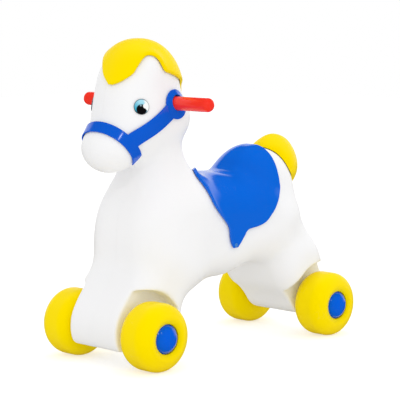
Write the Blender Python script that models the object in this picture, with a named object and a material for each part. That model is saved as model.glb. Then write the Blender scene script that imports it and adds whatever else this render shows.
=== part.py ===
"""Ride-on pony: a hollow moulded body on four fat wheels, with saddle, bridle, mane, tail and handle.

The pony faces -Y and stands on the floor at z = 0. Its left side is +X.
"""

import bmesh
import bpy
import numpy as np

# Clearances
GAP = 0.0003
TRIM_GAP = 0.0014
BRIDLE_GAP = 0.001
ROSETTE_CLEARANCE = 0.0013
WELL_CLEARANCE = 0.0155
CUT_MARGIN = 0.02

# Wheels
WHEEL_RADIUS = 0.0525
WHEEL_WIDTH = 0.0672
TREAD_WIDTH = 0.018
WHEEL_WALL = 0.003
WHEEL_BACK_RADIUS = 0.0252
WHEEL_FACE_RADIUS = 0.0305
WHEEL_DISH = 0.0035
TRACK = 0.1768
WHEELBASE = 0.394

# Axles, bushes and push nuts
AXLE_RADIUS = 0.004
AXLE_END_INSET = 0.0025
BUSH_RADIUS = 0.0075
FLANGE_RADIUS = 0.012
FLANGE_THICKNESS = 0.002
NUT_RADIUS = 0.009
NUT_THICKNESS = 0.0012

# Hub caps
CAP_RADIUS = 0.0216
CAP_HEIGHT = 0.0134
CAP_WALL = 0.0018
CAP_PROUD = 0.0048
CAP_SEAT = 0.0016

# Body and wheel wells
BODY_WALL = 0.004
WELL_WALL = 0.006
WELL_RADIUS = WHEEL_RADIUS + WELL_CLEARANCE
WELL_DEPTH_X = TRACK / 2.0 - WHEEL_WIDTH / 2.0 - FLANGE_THICKNESS - 2.0 * GAP
FOOT_HEIGHT = 0.027
FOOT_ROUNDING = 0.014
MIDDLE_ROUNDING = 0.0032

# Where the trunk, the head and the feet stand: y from the axles, z from the floor or the axles
CHEST_BEHIND_AXLE = 0.097
RUMP_BEFORE_AXLE = 0.083
HEAD_BEFORE_CHEST = 0.045
FORE_FOOT_BEHIND_AXLE = 0.012
FORE_FOOT_ABOVE_AXLE = 0.0035
KNEE_BEFORE_AXLE = 0.035
KNEE_Z = 0.121
HIND_FOOT_BEFORE_AXLE = 0.004
HIND_FOOT_ABOVE_AXLE = 0.022
CHEST_Y = -WHEELBASE / 2.0 + CHEST_BEHIND_AXLE
RUMP_Y = WHEELBASE / 2.0 - RUMP_BEFORE_AXLE
RUMP_Z = 0.248
HEAD_Y = CHEST_Y - HEAD_BEFORE_CHEST
HEAD_Z = 0.397
FORE_FOOT = (-WHEELBASE / 2.0 + FORE_FOOT_BEHIND_AXLE, WHEEL_RADIUS + FORE_FOOT_ABOVE_AXLE)
KNEE = (WHEELBASE / 2.0 - KNEE_BEFORE_AXLE, KNEE_Z)
HIND_FOOT = (WHEELBASE / 2.0 - HIND_FOOT_BEFORE_AXLE, WHEEL_RADIUS + HIND_FOOT_ABOVE_AXLE)

# Limbs: ends in side view (y, z), radii at the ends, half-widths at the ends, edge rounding, blend
CHEST = (CHEST_Y, 0.192)
MIDDLE = (-0.007, 0.194)
BELLY = (-0.003, 0.196)
FLANK = (RUMP_Y - 0.041, 0.204)
HIP = (RUMP_Y - 0.022, 0.209)
RUMP = (RUMP_Y, RUMP_Z)
SHOULDER = (CHEST_Y - 0.034, 0.146)
THIGH = (RUMP_Y + 0.025, 0.194)
NECK_FOOT = (CHEST_Y - 0.009, 0.228)
NECK_TOP = (CHEST_Y - 0.015, 0.337)
LIMBS = {
    "chest": (CHEST, MIDDLE, (0.088, 0.075), (0.081, 0.069), 0.050, 0.040),
    "belly": (BELLY, FLANK, (0.073, 0.066), (0.067, 0.072), 0.050, 0.040),
    "rump": (HIP, RUMP, (0.075, 0.066), (0.072, 0.057), 0.050, 0.040),
    "fore_leg": (SHOULDER, FORE_FOOT, (0.047, 0.058), (0.070, 0.088), 0.034, 0.060),
    "thigh": (THIGH, KNEE, (0.042, 0.051), (0.064, 0.079), 0.034, 0.050),
    "hind_foot": (KNEE, HIND_FOOT, (0.051, 0.045), (0.079, 0.082), 0.034, 0.014),
    "neck": (NECK_FOOT, NECK_TOP, (0.063, 0.033), (0.054, 0.048), 0.030, 0.058),
}

# Rounded lumps of the head: centre (y, z), radii (x, y, z), squareness, pitch in degrees, blend
JAW = (HEAD_Y + 0.030, HEAD_Z - 0.020)
NOSE = (HEAD_Y - 0.015, HEAD_Z - 0.025)
MUZZLE = (HEAD_Y - 0.062, HEAD_Z - 0.066)
LUMPS = {
    "head": ((HEAD_Y, HEAD_Z), (0.059, 0.069, 0.094), 2.2, 0.0, 0.028),
    "jaw": (JAW, (0.062, 0.053, 0.052), 2.1, 0.0, 0.012),
    "nose": (NOSE, (0.059, 0.052, 0.045), 2.1, 40.0, 0.040),
    "muzzle": (MUZZLE, (0.045, 0.036, 0.036), 2.1, 40.0, 0.040),
}
EAR_CENTRE = (0.040, HEAD_Y - 0.014, HEAD_Z + 0.049)
EAR_RADII = (0.014, 0.015, 0.026)
EAR_BLEND = 0.020

# Handle: a tube through the head, with a grip on each end that starts inside the head
HANDLE_Y = HEAD_Y + 0.018
HANDLE_Z = HEAD_Z + 0.002
HANDLE_LENGTH = 0.281
TUBE_RADIUS = 0.0055
TUBE_WALL = 0.0015
TUBE_END_INSET = 0.016
GRIP_RADIUS = 0.0106
GRIP_ROUNDING = 0.007
GRIP_ENTRY = 0.011

# Saddle: about the trunk, angle from straight up in degrees, front edge y, rear edge y
SADDLE_THICKNESS = 0.003
SADDLE_AXIS_Z = 0.215
SADDLE_EDGE = (
    (0, -0.042, 0.110),
    (12, -0.047, 0.110),
    (24, -0.063, 0.110),
    (34, -0.0745, 0.110),
    (43, -0.0735, 0.110),
    (52, -0.068, 0.110),
    (61, -0.064, 0.108),
    (72, -0.057, 0.098),
    (82, -0.044, 0.084),
    (92, -0.029, 0.069),
    (99, -0.0215, 0.055),
    (103, -0.0190, 0.038),
    (106, -0.0185, 0.019),
    (113, -0.0175, 0.012),
    (119, -0.0150, 0.004),
    (122.5, -0.0110, -0.003),
)
SADDLE_COLUMNS = 12

# Saddle rivets: one through the end of each flap
RIVET_RADIUS = 0.0016
RIVET_HEAD_RADIUS = 0.0032
RIVET_HEAD_HEIGHT = 0.0014
RIVET_LENGTH = 0.013
RIVET_Y = -0.009
RIVET_Z = 0.171

# Mane: about the head, angle in degrees from straight ahead over the top, right edge x, left edge x
MANE_THICKNESS = 0.005
MANE_AXIS = (HEAD_Y, HEAD_Z + 0.003)
MANE_EDGE = (
    (23, 0.002, 0.015),
    (27, -0.006, 0.024),
    (34, -0.013, 0.032),
    (44, -0.019, 0.0385),
    (54, -0.026, 0.040),
    (64, -0.033, 0.0405),
    (72, -0.037, 0.041),
    (80, -0.044, 0.0455),
    (92, -0.050, 0.050),
    (107, -0.051, 0.051),
    (122, -0.048, 0.048),
    (138, -0.042, 0.042),
    (156, -0.034, 0.034),
    (176, -0.028, 0.028),
    (197, -0.023, 0.023),
    (216, -0.018, 0.018),
)
MANE_COLUMNS = 11
MANE_ROWS = 25

# Tail: about the rump in side view, angle in degrees, inner and outer distance from the centre, half-width
TAIL_CENTRE = RUMP
TAIL_SHAPE = (
    (86, 0.062, 0.069, 0.012),
    (80, 0.063, 0.077, 0.019),
    (71, 0.064, 0.090, 0.024),
    (59, 0.065, 0.101, 0.027),
    (45, 0.067, 0.108, 0.027),
    (31, 0.070, 0.113, 0.025),
    (18, 0.077, 0.115, 0.020),
    (8, 0.086, 0.110, 0.013),
    (1, 0.095, 0.103, 0.005),
)
TAIL_SIDES = 12
PEG_RADIUS = 0.005
PEG_LENGTH = 0.030
PEG_DEPTH = 0.010
PEG_ANGLE = 62.0

# Bridle: the noseband goes round the muzzle in a plane that leans forward, open under the jaw
BRIDLE_THICKNESS = 0.002
NOSEBAND_CENTRE = (0.0, HEAD_Y - 0.047, HEAD_Z - 0.0745)
NOSEBAND_LEAN = 41.0
NOSEBAND_REACH = 119.0
NOSEBAND_WIDTH = 0.0175
NOSEBAND_COLUMNS = 29
STRAP_FIRST = 20
STRAP_ROWS = 6
STRAP_COLUMNS = 4
ROSETTE_RADIUS = 0.0225
ROSETTE_COLUMNS = 16

# Eyes: printed discs that follow the cheeks
EYE_RADIUS = 0.0118
EYE_THICKNESS = 0.0012
EYE_Y = HEAD_Y - 0.042
EYE_Z = HEAD_Z
EYE_RINGS = 3
EYE_COLUMNS = 16

# Fineness of the surfaces
BODY_CELL = 0.015
HOLLOW_CELL = 0.020
KEPT_FACES = 0.6
KEPT_INNER_FACES = 0.4
WHEEL_SEGMENTS = 24
WELL_SEGMENTS = 32
ROUND_SEGMENTS = 20
SMALL_SEGMENTS = 16
PIN_SEGMENTS = 12

COLOURS = {
    "white": ((0.87, 0.87, 0.86), 0.35, 0.0),
    "yellow": ((0.98, 0.75, 0.0), 0.35, 0.0),
    "blue": ((0.0, 0.13, 0.72), 0.35, 0.0),
    "red": ((0.94, 0.04, 0.02), 0.35, 0.0),
    "steel": ((0.56, 0.57, 0.58), 0.3, 1.0),
    "nylon": ((0.6, 0.6, 0.58), 0.5, 0.0),
    "eye": ((0.02, 0.12, 0.16), 0.25, 0.0),
}


def smooth_min(a, b, blend):
    """The smaller of two distances, rounded where they are nearly equal."""
    nearness = np.maximum(blend - np.abs(a - b), 0.0) / blend
    return np.minimum(a, b) - nearness**3 * blend / 6.0


def smooth_max(a, b, blend):
    return -smooth_min(-a, -b, blend)


def limb(points, start, end, radii, half_widths, rounding):
    """Distance to a tapered bar: a round cone in side view, with flat sides and rounded edges."""
    start = np.array(start)
    along = np.array(end) - start
    offset = points[..., 1:] - start
    share = np.clip(offset @ along / (along @ along), 0.0, 1.0)
    eased = share * share * (3.0 - 2.0 * share)
    reach = np.linalg.norm(offset - share[..., None] * along, axis=-1)
    side = reach - (radii[0] + eased * (radii[1] - radii[0])) + rounding
    half_width = half_widths[0] + eased * (half_widths[1] - half_widths[0])
    width = np.hypot(points[..., 0], MIDDLE_ROUNDING) - half_width + rounding
    outside = np.hypot(np.maximum(side, 0.0), np.maximum(width, 0.0))
    return np.minimum(np.maximum(side, width), 0.0) + outside - rounding


def lump(points, centre, radii, squareness, pitch):
    """Distance to an egg shape pitched about X: (|x/rx|^n + |y/ry|^n + |z/rz|^n)^(1/n) = 1."""
    offset = points - np.array(centre)
    cos, sin = np.cos(pitch), np.sin(pitch)
    turned_y = cos * offset[..., 1] + sin * offset[..., 2]
    turned_z = cos * offset[..., 2] - sin * offset[..., 1]
    scaled = np.abs(np.stack([offset[..., 0], turned_y, turned_z], -1)) / np.array(radii) + 1e-9
    size = (scaled**squareness).sum(-1) ** (1.0 / squareness)
    slope = (scaled / size[..., None]) ** (squareness - 1.0) / np.array(radii)
    return (size - 1.0) / np.linalg.norm(slope, axis=-1)


def axle_y(end):
    """end is -1 for the front axle and 1 for the rear one."""
    return end * WHEELBASE / 2.0


def body(points):
    """Distance to the outside of the body, before its wheel wells are cut."""
    distance = np.full(points.shape[:-1], 1.0)
    for start, end, radii, half_widths, rounding, blend in LIMBS.values():
        distance = smooth_min(distance, limb(points, start, end, radii, half_widths, rounding), blend)
    for (y, z), radii, squareness, pitch, blend in LUMPS.values():
        egg = lump(points, (0.0, y, z), radii, squareness, np.radians(pitch))
        distance = smooth_min(distance, egg, blend)
    folded = np.concatenate([np.abs(points[..., :1]), points[..., 1:]], -1)
    ear = lump(folded, EAR_CENTRE, EAR_RADII, 2.0, 0.0)
    distance = smooth_min(distance, ear, EAR_BLEND)
    return smooth_max(distance, FOOT_HEIGHT - points[..., 2], FOOT_ROUNDING)


def hollow(points):
    return body(points) + BODY_WALL


def gradient(field, points, step=0.0004):
    slopes = []
    for axis in np.eye(3) * step:
        slopes.append((field(points + axis) - field(points - axis)) / (2.0 * step))
    return np.stack(slopes, -1)


def lift(points, level, field=body):
    """The points moved along the field's slope to where the field equals the level."""
    for _ in range(6):
        slope = gradient(field, points)
        size = (slope**2).sum(-1, keepdims=True)
        points = points - (field(points) - level)[..., None] * slope / np.maximum(size, 0.05)
    return points


def skin_along(starts, directions, level=0.0, reach=0.2):
    """Where rays from inside the body leave it, found by halving."""
    near = np.zeros(starts.shape[:-1])
    far = np.full(starts.shape[:-1], reach)
    for _ in range(30):
        middle = (near + far) / 2.0
        inside = body(starts + middle[..., None] * directions) < level
        near = np.where(inside, middle, near)
        far = np.where(inside, far, middle)
    return starts + near[..., None] * directions


def side_points(side, y, z, level=0.0):
    """Where rays from the middle plane leave the body, to the left (side 1) or the right (side -1)."""
    starts = np.stack([np.zeros_like(y), y, z], -1)
    return skin_along(starts, np.array([float(side), 0.0, 0.0]) + np.zeros_like(starts), level)


def cheek_x():
    """Half-width of the head at the handle."""
    return side_points(1, np.array([HANDLE_Y]), np.array([HANDLE_Z]))[0, 0]


def saddle_face():
    """Half-width over the saddle's flaps at their rivets."""
    level = TRIM_GAP + SADDLE_THICKNESS
    return side_points(1, np.array([RIVET_Y]), np.array([RIVET_Z]), level)[0, 0]


def material(colour):
    found = bpy.data.materials.get(colour)
    if found:
        return found
    base, roughness, metallic = COLOURS[colour]
    made = bpy.data.materials.new(colour)
    made.use_nodes = True
    shader = made.node_tree.nodes["Principled BSDF"]
    shader.inputs["Base Color"].default_value = (*base, 1.0)
    shader.inputs["Roughness"].default_value = roughness
    shader.inputs["Metallic"].default_value = metallic
    return made


def add_object(name, mesh, colour, location=(0.0, 0.0, 0.0), turn=0.0):
    """turn is the angle about Z."""
    made = bpy.data.objects.new(name, mesh)
    made.location = location
    made.rotation_euler = (0.0, 0.0, turn)
    bpy.context.scene.collection.objects.link(made)
    if colour:
        mesh.materials.clear()
        mesh.materials.append(material(colour))
    else:
        made.hide_render = True
        made.display_type = "WIRE"
    return made


def mesh_of(name, points, faces, outward=True):
    mesh = bpy.data.meshes.new(name)
    mesh.from_pydata(np.asarray(points).tolist(), [], [list(map(int, face)) for face in faces])
    if outward:
        work = bmesh.new()
        work.from_mesh(mesh)
        bmesh.ops.recalc_face_normals(work, faces=work.faces)
        work.to_mesh(mesh)
        work.free()
    mesh.shade_smooth()
    mesh.set_sharp_from_angle(angle=np.radians(38.0))
    return mesh


def body_box():
    """Low and high corners of a box that holds the body, the same to the left and the right."""
    blocks = [(EAR_CENTRE, EAR_RADII)]
    for start, end, radii, half_widths, _, _ in LIMBS.values():
        for (y, z), radius, half_width in zip((start, end), radii, half_widths):
            blocks.append(((0.0, y, z), (half_width, radius, radius)))
    for (y, z), radii, _, _, _ in LUMPS.values():
        blocks.append(((0.0, y, z), (radii[0], max(radii), max(radii))))
    centres, sizes = np.array(blocks).transpose(1, 0, 2)
    low = (centres - sizes).min(0)
    high = (centres + sizes).max(0)
    low[0] = -high[0]
    return low, high


def net_surface(field, cell):
    """A closed surface where the field is zero.

    Each cell that it crosses gets a vertex, and each grid edge that it cuts gets a face.
    """
    low, high = body_box()
    low = cell * (np.floor(low / cell) - 1.0)
    counts = np.ceil((high - low) / cell).astype(int) + 2
    grid = low + cell * np.stack(np.meshgrid(*map(np.arange, counts), indexing="ij"), -1)
    value = field(grid)
    cells = tuple(counts - 1)
    total = np.zeros(cells + (3,))
    hits = np.zeros(cells)
    quads = []
    for axis in range(3):
        first, second = (axis + 1) % 3, (axis + 2) % 3
        start = [slice(None)] * 3
        stop = [slice(None)] * 3
        start[axis], stop[axis] = slice(None, -1), slice(1, None)
        here, there = value[tuple(start)], value[tuple(stop)]
        cut = (here < 0) != (there < 0)
        share = np.where(cut, here / np.where(cut, here - there, 1.0), 0.0)
        place = grid[tuple(start)] + share[..., None] * cell * np.eye(3)[axis]
        edge = np.argwhere(cut)
        around = []
        for step_first, step_second in ((0, 0), (-1, 0), (-1, -1), (0, -1)):
            owner = edge.copy()
            owner[:, first] += step_first
            owner[:, second] += step_second
            around.append(owner)
            np.add.at(total, tuple(owner.T), place[cut])
            np.add.at(hits, tuple(owner.T), 1.0)
        ring = np.stack([np.ravel_multi_index(tuple(owner.T), cells) for owner in around], 1)
        leaving = here[cut] < 0
        quads.append(np.where(leaving[:, None], ring, ring[:, ::-1]))
    used = hits.ravel() > 0
    number = np.cumsum(used) - 1
    points = total.reshape(-1, 3)[used] / hits.ravel()[used, None]
    return lift(points, 0.0, field), number[np.concatenate(quads)]


def thicken(name, points, faces, thickness, gap=TRIM_GAP):
    """A shell that follows the body: the sheet of faces lifted by the gap, and again by the thickness."""
    inner = lift(points, gap)
    outer = lift(inner, gap + thickness)
    count = len(points)
    solid = [list(face) for face in faces]
    solid += [[corner + count for corner in face[::-1]] for face in faces]
    seen = {}
    for face in faces:
        for a, b in zip(face, np.roll(face, -1)):
            seen[(int(a), int(b))] = True
    for a, b in seen:
        if (b, a) not in seen:
            solid.append([b, a, a + count, b + count])
    return mesh_of(name, np.concatenate([outer, inner]), solid)


def sheet_faces(rows, columns, first=0, closed=False):
    """Quads over a grid of points stored row by row. closed joins the last row to the first."""
    faces = []
    for row in range(rows if closed else rows - 1):
        below = (row + 1) % rows
        for column in range(columns - 1):
            a = first + row * columns + column
            b = first + below * columns + column
            faces.append([a, a + 1, b + 1, b])
    return faces


def weld(points, faces):
    """Joins the sheet points that fall in the same place."""
    _, keep, number = np.unique(np.round(points, 6), axis=0, return_index=True, return_inverse=True)
    number = number.reshape(-1)
    return points[keep], [[int(number[corner]) for corner in face] for face in faces]


def revolve(name, profile, segments, facet_radius=False):
    """Turns a closed outline (x, r) about X. A facet, not a corner, lies at the bottom.

    facet_radius sets the radii at the middle of each facet, not at its corners.
    """
    angles = 2.0 * np.pi * (np.arange(segments) + 0.5) / segments
    profile = np.array(profile)
    spread = 1.0 / np.cos(np.pi / segments) if facet_radius else 1.0
    rings = []
    for angle in angles:
        radius = profile[:, 1] * spread
        rings.append(np.stack([profile[:, 0], radius * np.sin(angle), -radius * np.cos(angle)], -1))
    points = np.concatenate(rings)
    count = len(profile)
    faces = []
    for ring in range(segments):
        following = (ring + 1) % segments
        for corner in range(count):
            ahead = (corner + 1) % count
            if profile[corner, 1] == 0.0 and profile[ahead, 1] == 0.0:
                continue
            here, there = ring * count, following * count
            faces.append([here + corner, here + ahead, there + ahead, there + corner])
    mesh = mesh_of(name, points, faces, outward=False)
    work = bmesh.new()
    work.from_mesh(mesh)
    bmesh.ops.remove_doubles(work, verts=work.verts, dist=1e-6)
    bmesh.ops.recalc_face_normals(work, faces=work.faces)
    work.to_mesh(mesh)
    work.free()
    return mesh


def rod(name, radius, start, end, segments=ROUND_SEGMENTS):
    """A plain round bar along X, from start to end."""
    return revolve(name, [(start, 0.0), (start, radius), (end, radius), (end, 0.0)], segments)


def thin_out(target, share):
    """Drops faces where the surface is nearly flat."""
    fewer = target.modifiers.new("fewer_faces", "DECIMATE")
    fewer.ratio = share
    fewer.use_symmetry = True
    fewer.symmetry_axis = "X"


def subtract(target, cutter):
    cut = target.modifiers.new(cutter.name, "BOOLEAN")
    cut.operation = "DIFFERENCE"
    cut.solver = "MANIFOLD"
    cut.object = cutter


def bore(target, name, radius, start, end, location, segments=ROUND_SEGMENTS):
    """Cuts a round hole along X through the target."""
    subtract(target, add_object(name, rod(name, radius, start, end, segments), None, location))


def rivet_bore(target, name):
    """Cuts the hole for both saddle rivets."""
    reach = saddle_face() + CUT_MARGIN
    bore(target, name, RIVET_RADIUS + GAP, -reach, reach, (0.0, RIVET_Y, RIVET_Z), PIN_SEGMENTS)


def cut_wells(target, name, radius, depth):
    """Cuts a round well about each wheel, outwards from the depth in x."""
    for end, place in ((-1, "front"), (1, "rear")):
        for side, hand in ((1, "left"), (-1, "right")):
            span = sorted((side * depth, side * (TRACK / 2.0 + WHEEL_WIDTH)))
            label = f"{name}_{place}_{hand}"
            bore(target, label, radius, *span, (0.0, axle_y(end), WHEEL_RADIUS), WELL_SEGMENTS)


def make_body():
    shell = add_object("body_shell", mesh_of("body_shell", *net_surface(body, BODY_CELL)), "white")
    core = add_object("body_core", mesh_of("body_core", *net_surface(hollow, HOLLOW_CELL)), None)
    thin_out(shell, KEPT_FACES)
    thin_out(core, KEPT_INNER_FACES)
    cut_wells(core, "inner_well", WELL_RADIUS + WELL_WALL, WELL_DEPTH_X - WELL_WALL)
    cut_wells(shell, "well", WELL_RADIUS, WELL_DEPTH_X)
    subtract(shell, core)
    for end, place in ((-1, "front"), (1, "rear")):
        where = (0.0, axle_y(end), WHEEL_RADIUS)
        reach = WELL_DEPTH_X + CUT_MARGIN
        bore(shell, "axle_bore_" + place, AXLE_RADIUS + GAP, -reach, reach, where)
    reach = cheek_x() + CUT_MARGIN
    bore(shell, "handle_bore", GRIP_RADIUS + GAP, -reach, reach, (0.0, HANDLE_Y, HANDLE_Z))
    rivet_bore(shell, "saddle_rivet_bore")
    return shell


def make_saddle():
    edge = np.array(SADDLE_EDGE)
    edge = np.concatenate([edge[:0:-1] * (-1, 1, 1), edge])
    angle = np.radians(edge[:, :1])
    share = np.linspace(0.0, 1.0, SADDLE_COLUMNS)
    y = edge[:, 1:2] + share * (edge[:, 2:3] - edge[:, 1:2])
    starts = np.stack([np.zeros_like(y), y, np.full_like(y, SADDLE_AXIS_Z)], -1)
    flat = np.ones_like(y)
    directions = np.stack([np.sin(angle) * flat, np.zeros_like(y), np.cos(angle) * flat], -1)
    points = skin_along(starts, directions).reshape(-1, 3)
    faces = sheet_faces(len(edge), SADDLE_COLUMNS)
    saddle = add_object("saddle", thicken("saddle", points, faces, SADDLE_THICKNESS), "blue")
    rivet_bore(saddle, "saddle_hole")


def make_saddle_rivets():
    seat = saddle_face() + GAP
    tip = -RIVET_LENGTH
    profile = [
        (tip, 0.0),
        (tip + RIVET_RADIUS, RIVET_RADIUS),
        (0.0, RIVET_RADIUS),
        (0.0, RIVET_HEAD_RADIUS),
        (0.5 * RIVET_HEAD_HEIGHT, RIVET_HEAD_RADIUS),
        (RIVET_HEAD_HEIGHT, 0.7 * RIVET_HEAD_RADIUS),
        (RIVET_HEAD_HEIGHT, 0.0),
    ]
    for side, place in ((1, "left"), (-1, "right")):
        mesh = revolve("saddle_rivet_" + place, profile, PIN_SEGMENTS)
        turn = 0.0 if side > 0 else np.pi
        add_object("saddle_rivet_" + place, mesh, "blue", (side * seat, RIVET_Y, RIVET_Z), turn)


def make_mane():
    edge = np.array(MANE_EDGE)
    angle = np.linspace(edge[0, 0], edge[-1, 0], MANE_ROWS)[:, None]
    right = np.interp(angle, edge[:, 0], edge[:, 1])
    left = np.interp(angle, edge[:, 0], edge[:, 2])
    x = right + (left - right) * np.linspace(0.0, 1.0, MANE_COLUMNS)
    angle = np.radians(angle)
    flat = np.ones_like(x)
    starts = np.stack([x, MANE_AXIS[0] * flat, MANE_AXIS[1] * flat], -1)
    directions = np.stack([np.zeros_like(x), -np.cos(angle) * flat, np.sin(angle) * flat], -1)
    points = skin_along(starts, directions).reshape(-1, 3)
    faces = sheet_faces(MANE_ROWS, MANE_COLUMNS)
    add_object("mane", thicken("mane", points, faces, MANE_THICKNESS, TRIM_GAP + GAP), "yellow")


def tail_point(angle, distance, x):
    y = TAIL_CENTRE[0] + distance * np.cos(angle)
    z = TAIL_CENTRE[1] + distance * np.sin(angle)
    return np.stack([x + 0.0 * y, y, z], -1)


def make_tail(shell):
    shape = np.array(TAIL_SHAPE)
    angle = np.radians(shape[:, :1])
    around = 2.0 * np.pi * np.arange(TAIL_SIDES) / TAIL_SIDES
    middle = (shape[:, 1:2] + shape[:, 2:3]) / 2.0
    half = (shape[:, 2:3] - shape[:, 1:2]) / 2.0
    points = tail_point(angle, middle + half * np.cos(around), shape[:, 3:4] * np.sin(around))
    points = points.reshape(-1, 3)
    buried = body(points) < TRIM_GAP
    points = np.where(buried[:, None], lift(points, TRIM_GAP), points)
    rings = len(shape)
    faces = [list(range(TAIL_SIDES)), list(range((rings - 1) * TAIL_SIDES, rings * TAIL_SIDES))]
    for ring in range(rings - 1):
        for side in range(TAIL_SIDES):
            a = ring * TAIL_SIDES + side
            b = ring * TAIL_SIDES + (side + 1) % TAIL_SIDES
            faces.append([a, b, b + TAIL_SIDES, a + TAIL_SIDES])
    tail = add_object("tail", mesh_of("tail", points, faces), "yellow")
    peg_angle = np.radians(PEG_ANGLE)
    skin = np.interp(-PEG_ANGLE, -shape[:, 0], shape[:, 1])
    foot = tail_point(peg_angle, skin - PEG_DEPTH, 0.0)
    tilt = np.pi / 2.0 - peg_angle
    for target, name, radius, operation in (
        (tail, "tail_peg", PEG_RADIUS, "UNION"),
        (shell, "tail_peg_bore", PEG_RADIUS + GAP, "DIFFERENCE"),
    ):
        helper = add_object(name, rod(name, radius, 0.0, PEG_LENGTH, PIN_SEGMENTS), None, foot)
        helper.rotation_euler = (-tilt, -np.pi / 2.0, 0.0)
        join = target.modifiers.new(name, "BOOLEAN")
        join.operation = operation
        join.solver = "MANIFOLD"
        join.object = helper


def noseband_points():
    """Three lines of points round the muzzle, from right to left: rear edge, middle and front edge."""
    lean = np.radians(NOSEBAND_LEAN)
    forward = np.array([0.0, -np.cos(lean), -np.sin(lean)])
    upward = np.array([0.0, -np.sin(lean), np.cos(lean)])
    angle = np.radians(np.linspace(-NOSEBAND_REACH, NOSEBAND_REACH, NOSEBAND_COLUMNS))
    directions = np.sin(angle)[:, None] * np.array([1.0, 0.0, 0.0]) + np.cos(angle)[:, None] * upward
    offsets = np.array([-0.5, 0.0, 0.5]) * NOSEBAND_WIDTH
    starts = np.array(NOSEBAND_CENTRE) + offsets[None, :, None] * forward + np.zeros((NOSEBAND_COLUMNS, 3, 3))
    return skin_along(starts, directions[:, None, :] + np.zeros_like(starts))


def make_bridle():
    """One moulding: the noseband, a strap up each cheek, and a rosette that the handle passes through."""
    band = noseband_points()
    points = [band.reshape(-1, 3)]
    faces = sheet_faces(NOSEBAND_COLUMNS, 3)
    first = NOSEBAND_COLUMNS * 3
    angle = 2.0 * np.pi * np.arange(ROSETTE_COLUMNS) / ROSETTE_COLUMNS
    for side in (1, -1):
        radii = np.array([GRIP_RADIUS + ROSETTE_CLEARANCE, 0.6 * ROSETTE_RADIUS + 0.4 * GRIP_RADIUS, ROSETTE_RADIUS])
        y = HANDLE_Y - radii * np.cos(angle)[:, None]
        z = HANDLE_Z + radii * np.sin(angle)[:, None]
        disc = side_points(side, y, z)
        points.append(disc.reshape(-1, 3))
        ring = sheet_faces(ROSETTE_COLUMNS, 3, first, closed=True)
        faces += ring if side < 0 else [face[::-1] for face in ring]
        first += ROSETTE_COLUMNS * 3
        strip = np.arange(STRAP_COLUMNS)
        columns = STRAP_FIRST + strip
        low_end = band[columns if side > 0 else NOSEBAND_COLUMNS - 1 - columns, 0]
        high_end = disc[-strip % ROSETTE_COLUMNS, 2]
        share = np.linspace(0.0, 1.0, STRAP_ROWS)[:, None, None]
        guide = low_end + share * (high_end - low_end)
        strap = side_points(side, guide[..., 1], guide[..., 2])
        strap[0] = low_end
        strap[-1] = high_end
        points.append(strap.reshape(-1, 3))
        ribbon = sheet_faces(STRAP_ROWS, STRAP_COLUMNS, first)
        faces += ribbon if side > 0 else [face[::-1] for face in ribbon]
        first += STRAP_ROWS * STRAP_COLUMNS
    points, faces = weld(np.concatenate(points), faces)
    add_object("bridle", thicken("bridle", points, faces, BRIDLE_THICKNESS, BRIDLE_GAP), "blue")


def make_eyes():
    rings = EYE_RINGS
    columns = EYE_COLUMNS
    for side, place in ((1, "left"), (-1, "right")):
        centre = side_points(side, np.array([EYE_Y]), np.array([EYE_Z]))[0]
        normal = gradient(body, centre)
        normal = normal / np.linalg.norm(normal)
        across = np.cross(normal, (0.0, 0.0, 1.0))
        across = across / np.linalg.norm(across)
        upward = np.cross(across, normal)
        angle = 2.0 * np.pi * np.arange(columns) / columns
        radii = EYE_RADIUS * np.arange(1, rings + 1)[:, None] / rings
        spread = np.cos(angle)[:, None] * across + np.sin(angle)[:, None] * upward
        points = centre + radii[..., None] * spread
        points = np.concatenate([centre[None], points.reshape(-1, 3)])
        faces = []
        for column in range(columns):
            ahead = (column + 1) % columns
            faces.append([0, 1 + column, 1 + ahead])
            for ring in range(rings - 1):
                low, high = 1 + ring * columns, 1 + (ring + 1) * columns
                faces.append([low + column, high + column, high + ahead, low + ahead])
        name = "eye_" + place
        add_object(name, thicken(name, points, faces, EYE_THICKNESS, 2.0 * GAP), "eye")


def make_handle():
    where = (0.0, HANDLE_Y, HANDLE_Z)
    end = HANDLE_LENGTH / 2.0
    tube_end = end - TUBE_END_INSET
    inner = TUBE_RADIUS - TUBE_WALL
    profile = [(-tube_end, inner), (-tube_end, TUBE_RADIUS), (tube_end, TUBE_RADIUS), (tube_end, inner)]
    add_object("handle_tube", revolve("handle_tube", profile, ROUND_SEGMENTS), "steel", where)
    hole = TUBE_RADIUS + GAP
    grip_start = cheek_x() - GRIP_ENTRY
    profile = [(grip_start, hole), (grip_start, GRIP_RADIUS)]
    for angle in np.radians([0.0, 30.0, 60.0, 90.0]):
        x = end - GRIP_ROUNDING + GRIP_ROUNDING * np.sin(angle)
        profile.append((x, GRIP_RADIUS - GRIP_ROUNDING + GRIP_ROUNDING * np.cos(angle)))
    profile += [(end, 0.0), (tube_end + GAP, 0.0), (tube_end + GAP, hole)]
    for side, place in ((1, "left"), (-1, "right")):
        turn = 0.0 if side > 0 else np.pi
        add_object("grip_" + place, revolve("grip_" + place, profile, ROUND_SEGMENTS), "red", where, turn)


def shoulder(half, radius, angles):
    """Points (x, r) from the tread's edge round towards the wheel's side: a squared quarter ellipse."""
    tread = TREAD_WIDTH / 2.0
    angle = np.radians(angles)
    x = tread + (half - tread) * np.sin(angle) ** 0.95
    return np.stack([x, radius * np.cos(angle) ** 0.52], -1)


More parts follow.
